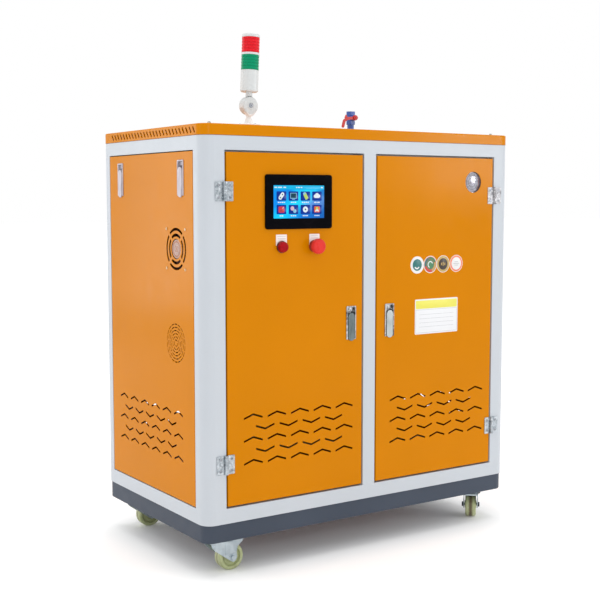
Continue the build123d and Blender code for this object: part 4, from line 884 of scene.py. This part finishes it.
knob = Piece("tower_knuckle_screw")
kf = Flat((TX, TY - 12.0, KZ), (1, 0, 0), (0, 0, 1), (0, -1, 0))
knob.band(kf, 7.2, 9.6, -0.3, 0.9, M["white_plastic"], 40, edge=0.3)
knob.screw(kf, 0.0, 0.0, 6.2, 1.6, SCREW, 35.0)
knob.done("cabinet")

foot = Piece("tower_foot_screws")
for a in (45, 165, 285):
    foot.screw(top(TX, TY, ROOF + 5.0), 23.0 * math.cos(math.radians(a)), 23.0 * math.sin(math.radians(a)), 3.4, 1.4, SCREW, a)
foot.done("cabinet")

rings = Piece("tower_joint_rings")
tf = Flat((TX, TY, KZ), ACROSS, (0, 1, 0), ALONG)
for r, h in ((23.4, H_GREEN - 1.2), (23.7, H_LID + 1.4)):
    rings.lathe(tf, [(r - 0.3, h - 0.8), (r + 0.3, h - 0.5), (r + 0.3, h + 0.5), (r - 0.3, h + 0.8)], M["white_plastic"], 56)
rings.done("tower")

# ----------------------------------------------------------------------
# Roof bolts by the front corners
# ----------------------------------------------------------------------
bolts = Piece("roof_bolts")
for bx, by in ((42.0, 40.0), (1018.0, 40.0)):
    bf = top(fx(bx), fy(by), ROOF)
    bolts.lathe(bf, [(8.2, -0.2), (8.2, 1.1), (7.7, 1.5), (3.0, 1.5)], M["zinc"], 36)
    bolts.prism(bf, circle(5.2, 6), 1.4, 5.4, HEX, 0.6)
    bolts.lathe(bf, [(2.6, 5.2), (2.6, 6.4), (2.2, 6.8), (0.0, 6.8)], SCREW, 24)
bolts.done("cabinet")

# ----------------------------------------------------------------------
# Painted shade: a dark orange sheet behind the air slots of the roof cap
# ----------------------------------------------------------------------
SLOT_SHADE_SHEET = powder("slot_painted_shade_sheet", (0.30, 0.095, 0.006), rough=0.45, peel=0.2, var=0.1, shine=0.05)
for word, sx in (("left", -1), ("right", 1)):
    shade_sheet = Piece("roof_slot_shade_sheet_" + word)
    fr = Flat((sx * XH, YF + 306.5, 1168.0), (0, sx, 0), (0, 0, 1), (sx, 0, 0))
    shade_sheet.prism(fr, rrect(540.0, 23.0, 1.0, 3), -3.6, -2.7, SLOT_SHADE_SHEET, 0.2)
    shade_sheet.done("cabinet")

# ----------------------------------------------------------------------
# Painted shadow: a thin dark brown strip between the roof cap and the frame
# ----------------------------------------------------------------------
shadow_strip = Piece("roof_shadow_strip")
shadow_strip.rim(top(0.0, YF + 306.5, 0.0), rrect(1060.5, 613.5, 33.25, 8), rrect(1052.0, 605.0, 29.0, 8), 1152.9, 1154.5, plastic("painted_shadow_strip", (0.16, 0.055, 0.02), 0.6, 0.2, 90.0))
shadow_strip.done("cabinet")

# ----------------------------------------------------------------------
# Valve: a red nut face on the lever, a steel thread inside the outlet
# ----------------------------------------------------------------------
vt = top(fx(755.0), fy(400.0), ROOF + 84.5)
thread = Piece("outlet_thread")
prof = []
for i in range(7):
    prof += [(9.35, -1.0 - 1.8 * i), (8.7, -1.9 - 1.8 * i)]
thread.lathe(vt, prof, M["gauge_steel"], 40)
thread.done("cabinet")

nut = Piece("valve_nut_face")
vf = Flat((fx(755.0), fy(400.0) - 30.0, ROOF + 64.0), (1, 0, 0), (0, 0, 1), (0, -1, 0))
nut.lathe(vf, [(3.2, -0.4), (3.2, 1.4), (2.7, 1.9), (0.0, 2.0)], M["lever_red"], 28)
nut.done("lever")

# ----------------------------------------------------------------------
# Casters: a pressed rib on each cheek, hub rings on each wheel
# ----------------------------------------------------------------------
for side, (cx, cy, yaw) in CASTERS.items():
    c, s = math.cos(math.radians(yaw)), math.sin(math.radians(yaw))
    for sign, word in ((-1, "near"), (1, "far")):
        n = Vector((s, -c, 0)) * (1 if sign < 0 else -1)
        u = Vector((c, s, 0)) * (1 if sign < 0 else -1)
        cheek = Flat(Vector((cx, cy, 0)) + n * 22.0, u, (0, 0, 1), n)
        k = 1 if sign < 0 else -1
        rib = Piece(side + "_fork_rib_" + word)
        rib.prism(cheek, rrect(3.0, 30.0, 1.4, 4, -1.0 * k, 62.0), -0.3, 0.7, PRESSED, 0.5)
        axle = [(TRAIL * k + x2, WHEEL_R + z2) for x2, z2 in circle(9.6, 36)]
        rib.prism(cheek, axle, -0.3, 0.8, PRESSED, 0.3)
        rib.done(side + "_swivel")
    hubr = Piece(side + "_wheel_rings")
    for sign in (-1, 1):
        n = Vector((s, -c, 0)) * (1 if sign < 0 else -1)
        u = Vector((c, s, 0)) * (1 if sign < 0 else -1)
        k = 1 if sign < 0 else -1
        web = Flat(Vector((cx + TRAIL * c, cy + TRAIL * s, WHEEL_R)), u, (0, 0, 1), n)
        hubr.lathe(web, [(14.2, 11.7), (14.4, 13.1), (15.6, 13.0), (15.8, 11.5)], HUB, 44)
        hubr.lathe(web, [(22.0, 10.9), (22.2, 12.2), (23.4, 12.1), (23.6, 10.7)], HUB, 44)
    hubr.done(side + "_roller")

# ----------------------------------------------------------------------
# Floor, backdrop, lights, camera
# ----------------------------------------------------------------------
floor_fin = Finish("studio_floor")
floor_fin.colour(floor_fin.blend(floor_fin.span(floor_fin.noise(0.7, 3.0), 0.3, 0.7, 0.0, 1.0), (0.86, 0.86, 0.86), (0.89, 0.89, 0.89)))
floor_fin.rough(floor_fin.span(floor_fin.noise(5.0, 3.0), 0.3, 0.7, 0.75, 0.85))
floor_fin.b.inputs["Emission Color"].default_value = (1.0, 1.0, 1.0, 1.0)
# Painted shadow: the floor's glow rises from 0.03 inside the cabinet's footprint to 0.22 just beyond it
floor_shadow_falloff = floor_fin.calc("MAXIMUM", floor_fin.calc("SUBTRACT", floor_fin.calc("ABSOLUTE", floor_fin.axis(0)), 0.53),
                      floor_fin.calc("SUBTRACT", floor_fin.calc("ABSOLUTE", floor_fin.axis(1)), 0.31))
floor_fin.link(floor_fin.span(floor_shadow_falloff, -0.10, 0.06, 0.03, 0.22), floor_fin.b.inputs["Emission Strength"])
bm = bmesh.new()
S = 40.0
vs = [bm.verts.new(p) for p in ((-S, -S, 0), (S, -S, 0), (S, S, 0), (-S, S, 0))]
bm.faces.new(vs)
me = bpy.data.meshes.new("studio_floor")
bm.to_mesh(me)
bm.free()
me.materials.append(floor_fin.m)
floor = bpy.data.objects.new("studio_floor", me)
bpy.context.scene.collection.objects.link(floor)

world = bpy.data.worlds.new("studio")
bpy.context.scene.world = world
world.use_nodes = True
wt = world.node_tree
bg = wt.nodes["Background"]
bg.inputs["Color"].default_value = (1.0, 1.0, 1.0, 1.0)
way = wt.nodes.new("ShaderNodeTexCoord").outputs["Generated"]
dot = wt.nodes.new("ShaderNodeVectorMath")
dot.operation = "DOT_PRODUCT"
dot.inputs[1].default_value = (-0.75, 0.66, 0.0)
wt.links.new(way, dot.inputs[0])
dim = wt.nodes.new("ShaderNodeMapRange")
dim.interpolation_type = "SMOOTHSTEP"
for key, v in (("From Min", 0.50), ("From Max", 0.90), ("To Min", 1.0), ("To Max", 1.0)):
    dim.inputs[key].default_value = v
wt.links.new(dot.outputs["Value"], dim.inputs["Value"])
wt.links.new(dim.outputs["Result"], bg.inputs["Strength"])
bpy.context.scene.view_settings.view_transform = "Standard"


def area(name, at, to, w, h, power, colour=(1, 1, 1)):
    li = bpy.data.lights.new(name, "AREA")
    li.shape, li.size, li.size_y, li.energy, li.color = "RECTANGLE", w, h, power, colour
    ob = bpy.data.objects.new(name, li)
    ob.location = at
    ob.rotation_euler = (Vector(to) - Vector(at)).to_track_quat("-Z", "Y").to_euler()
    bpy.context.scene.collection.objects.link(ob)
    return ob


area("side_glare", (-3.02, 3.6, 1.30), (-0.53, 0.0, 0.95), 1.6, 2.1, 24.0)
area("left_fill", (-3.6, -0.4, 1.6), (-0.53, 0.0, 0.7), 1.8, 1.8, 5.0)
area("front_key", (3.1, -3.3, 1.9), (0.0, -0.3, 0.8), 1.6, 1.6, 7.0)
area("right_strip", (2.74, -2.76, 1.34), (0.4, -0.29, 1.05), 0.75, 0.62, 13.0)
area("overhead", (0.0, 0.0, 4.2), (0.0, 0.0, 0.0), 3.2, 3.2, 55.0)
area("spark", (-1.5, -3.0, 1.45), (-0.36, -0.24, 1.3), 0.08, 0.08, 4.0)

cam_data = bpy.data.cameras.new("camera")
cam_data.lens = 66.815
cam_data.sensor_width = 36.0
cam = bpy.data.objects.new("camera", cam_data)
cam.location = (-1.89196, -2.77099, 0.99142)
cam.rotation_euler = (math.radians(84.8185), 0.0, math.radians(-33.771))
bpy.context.scene.collection.objects.link(cam)
bpy.context.scene.camera = cam
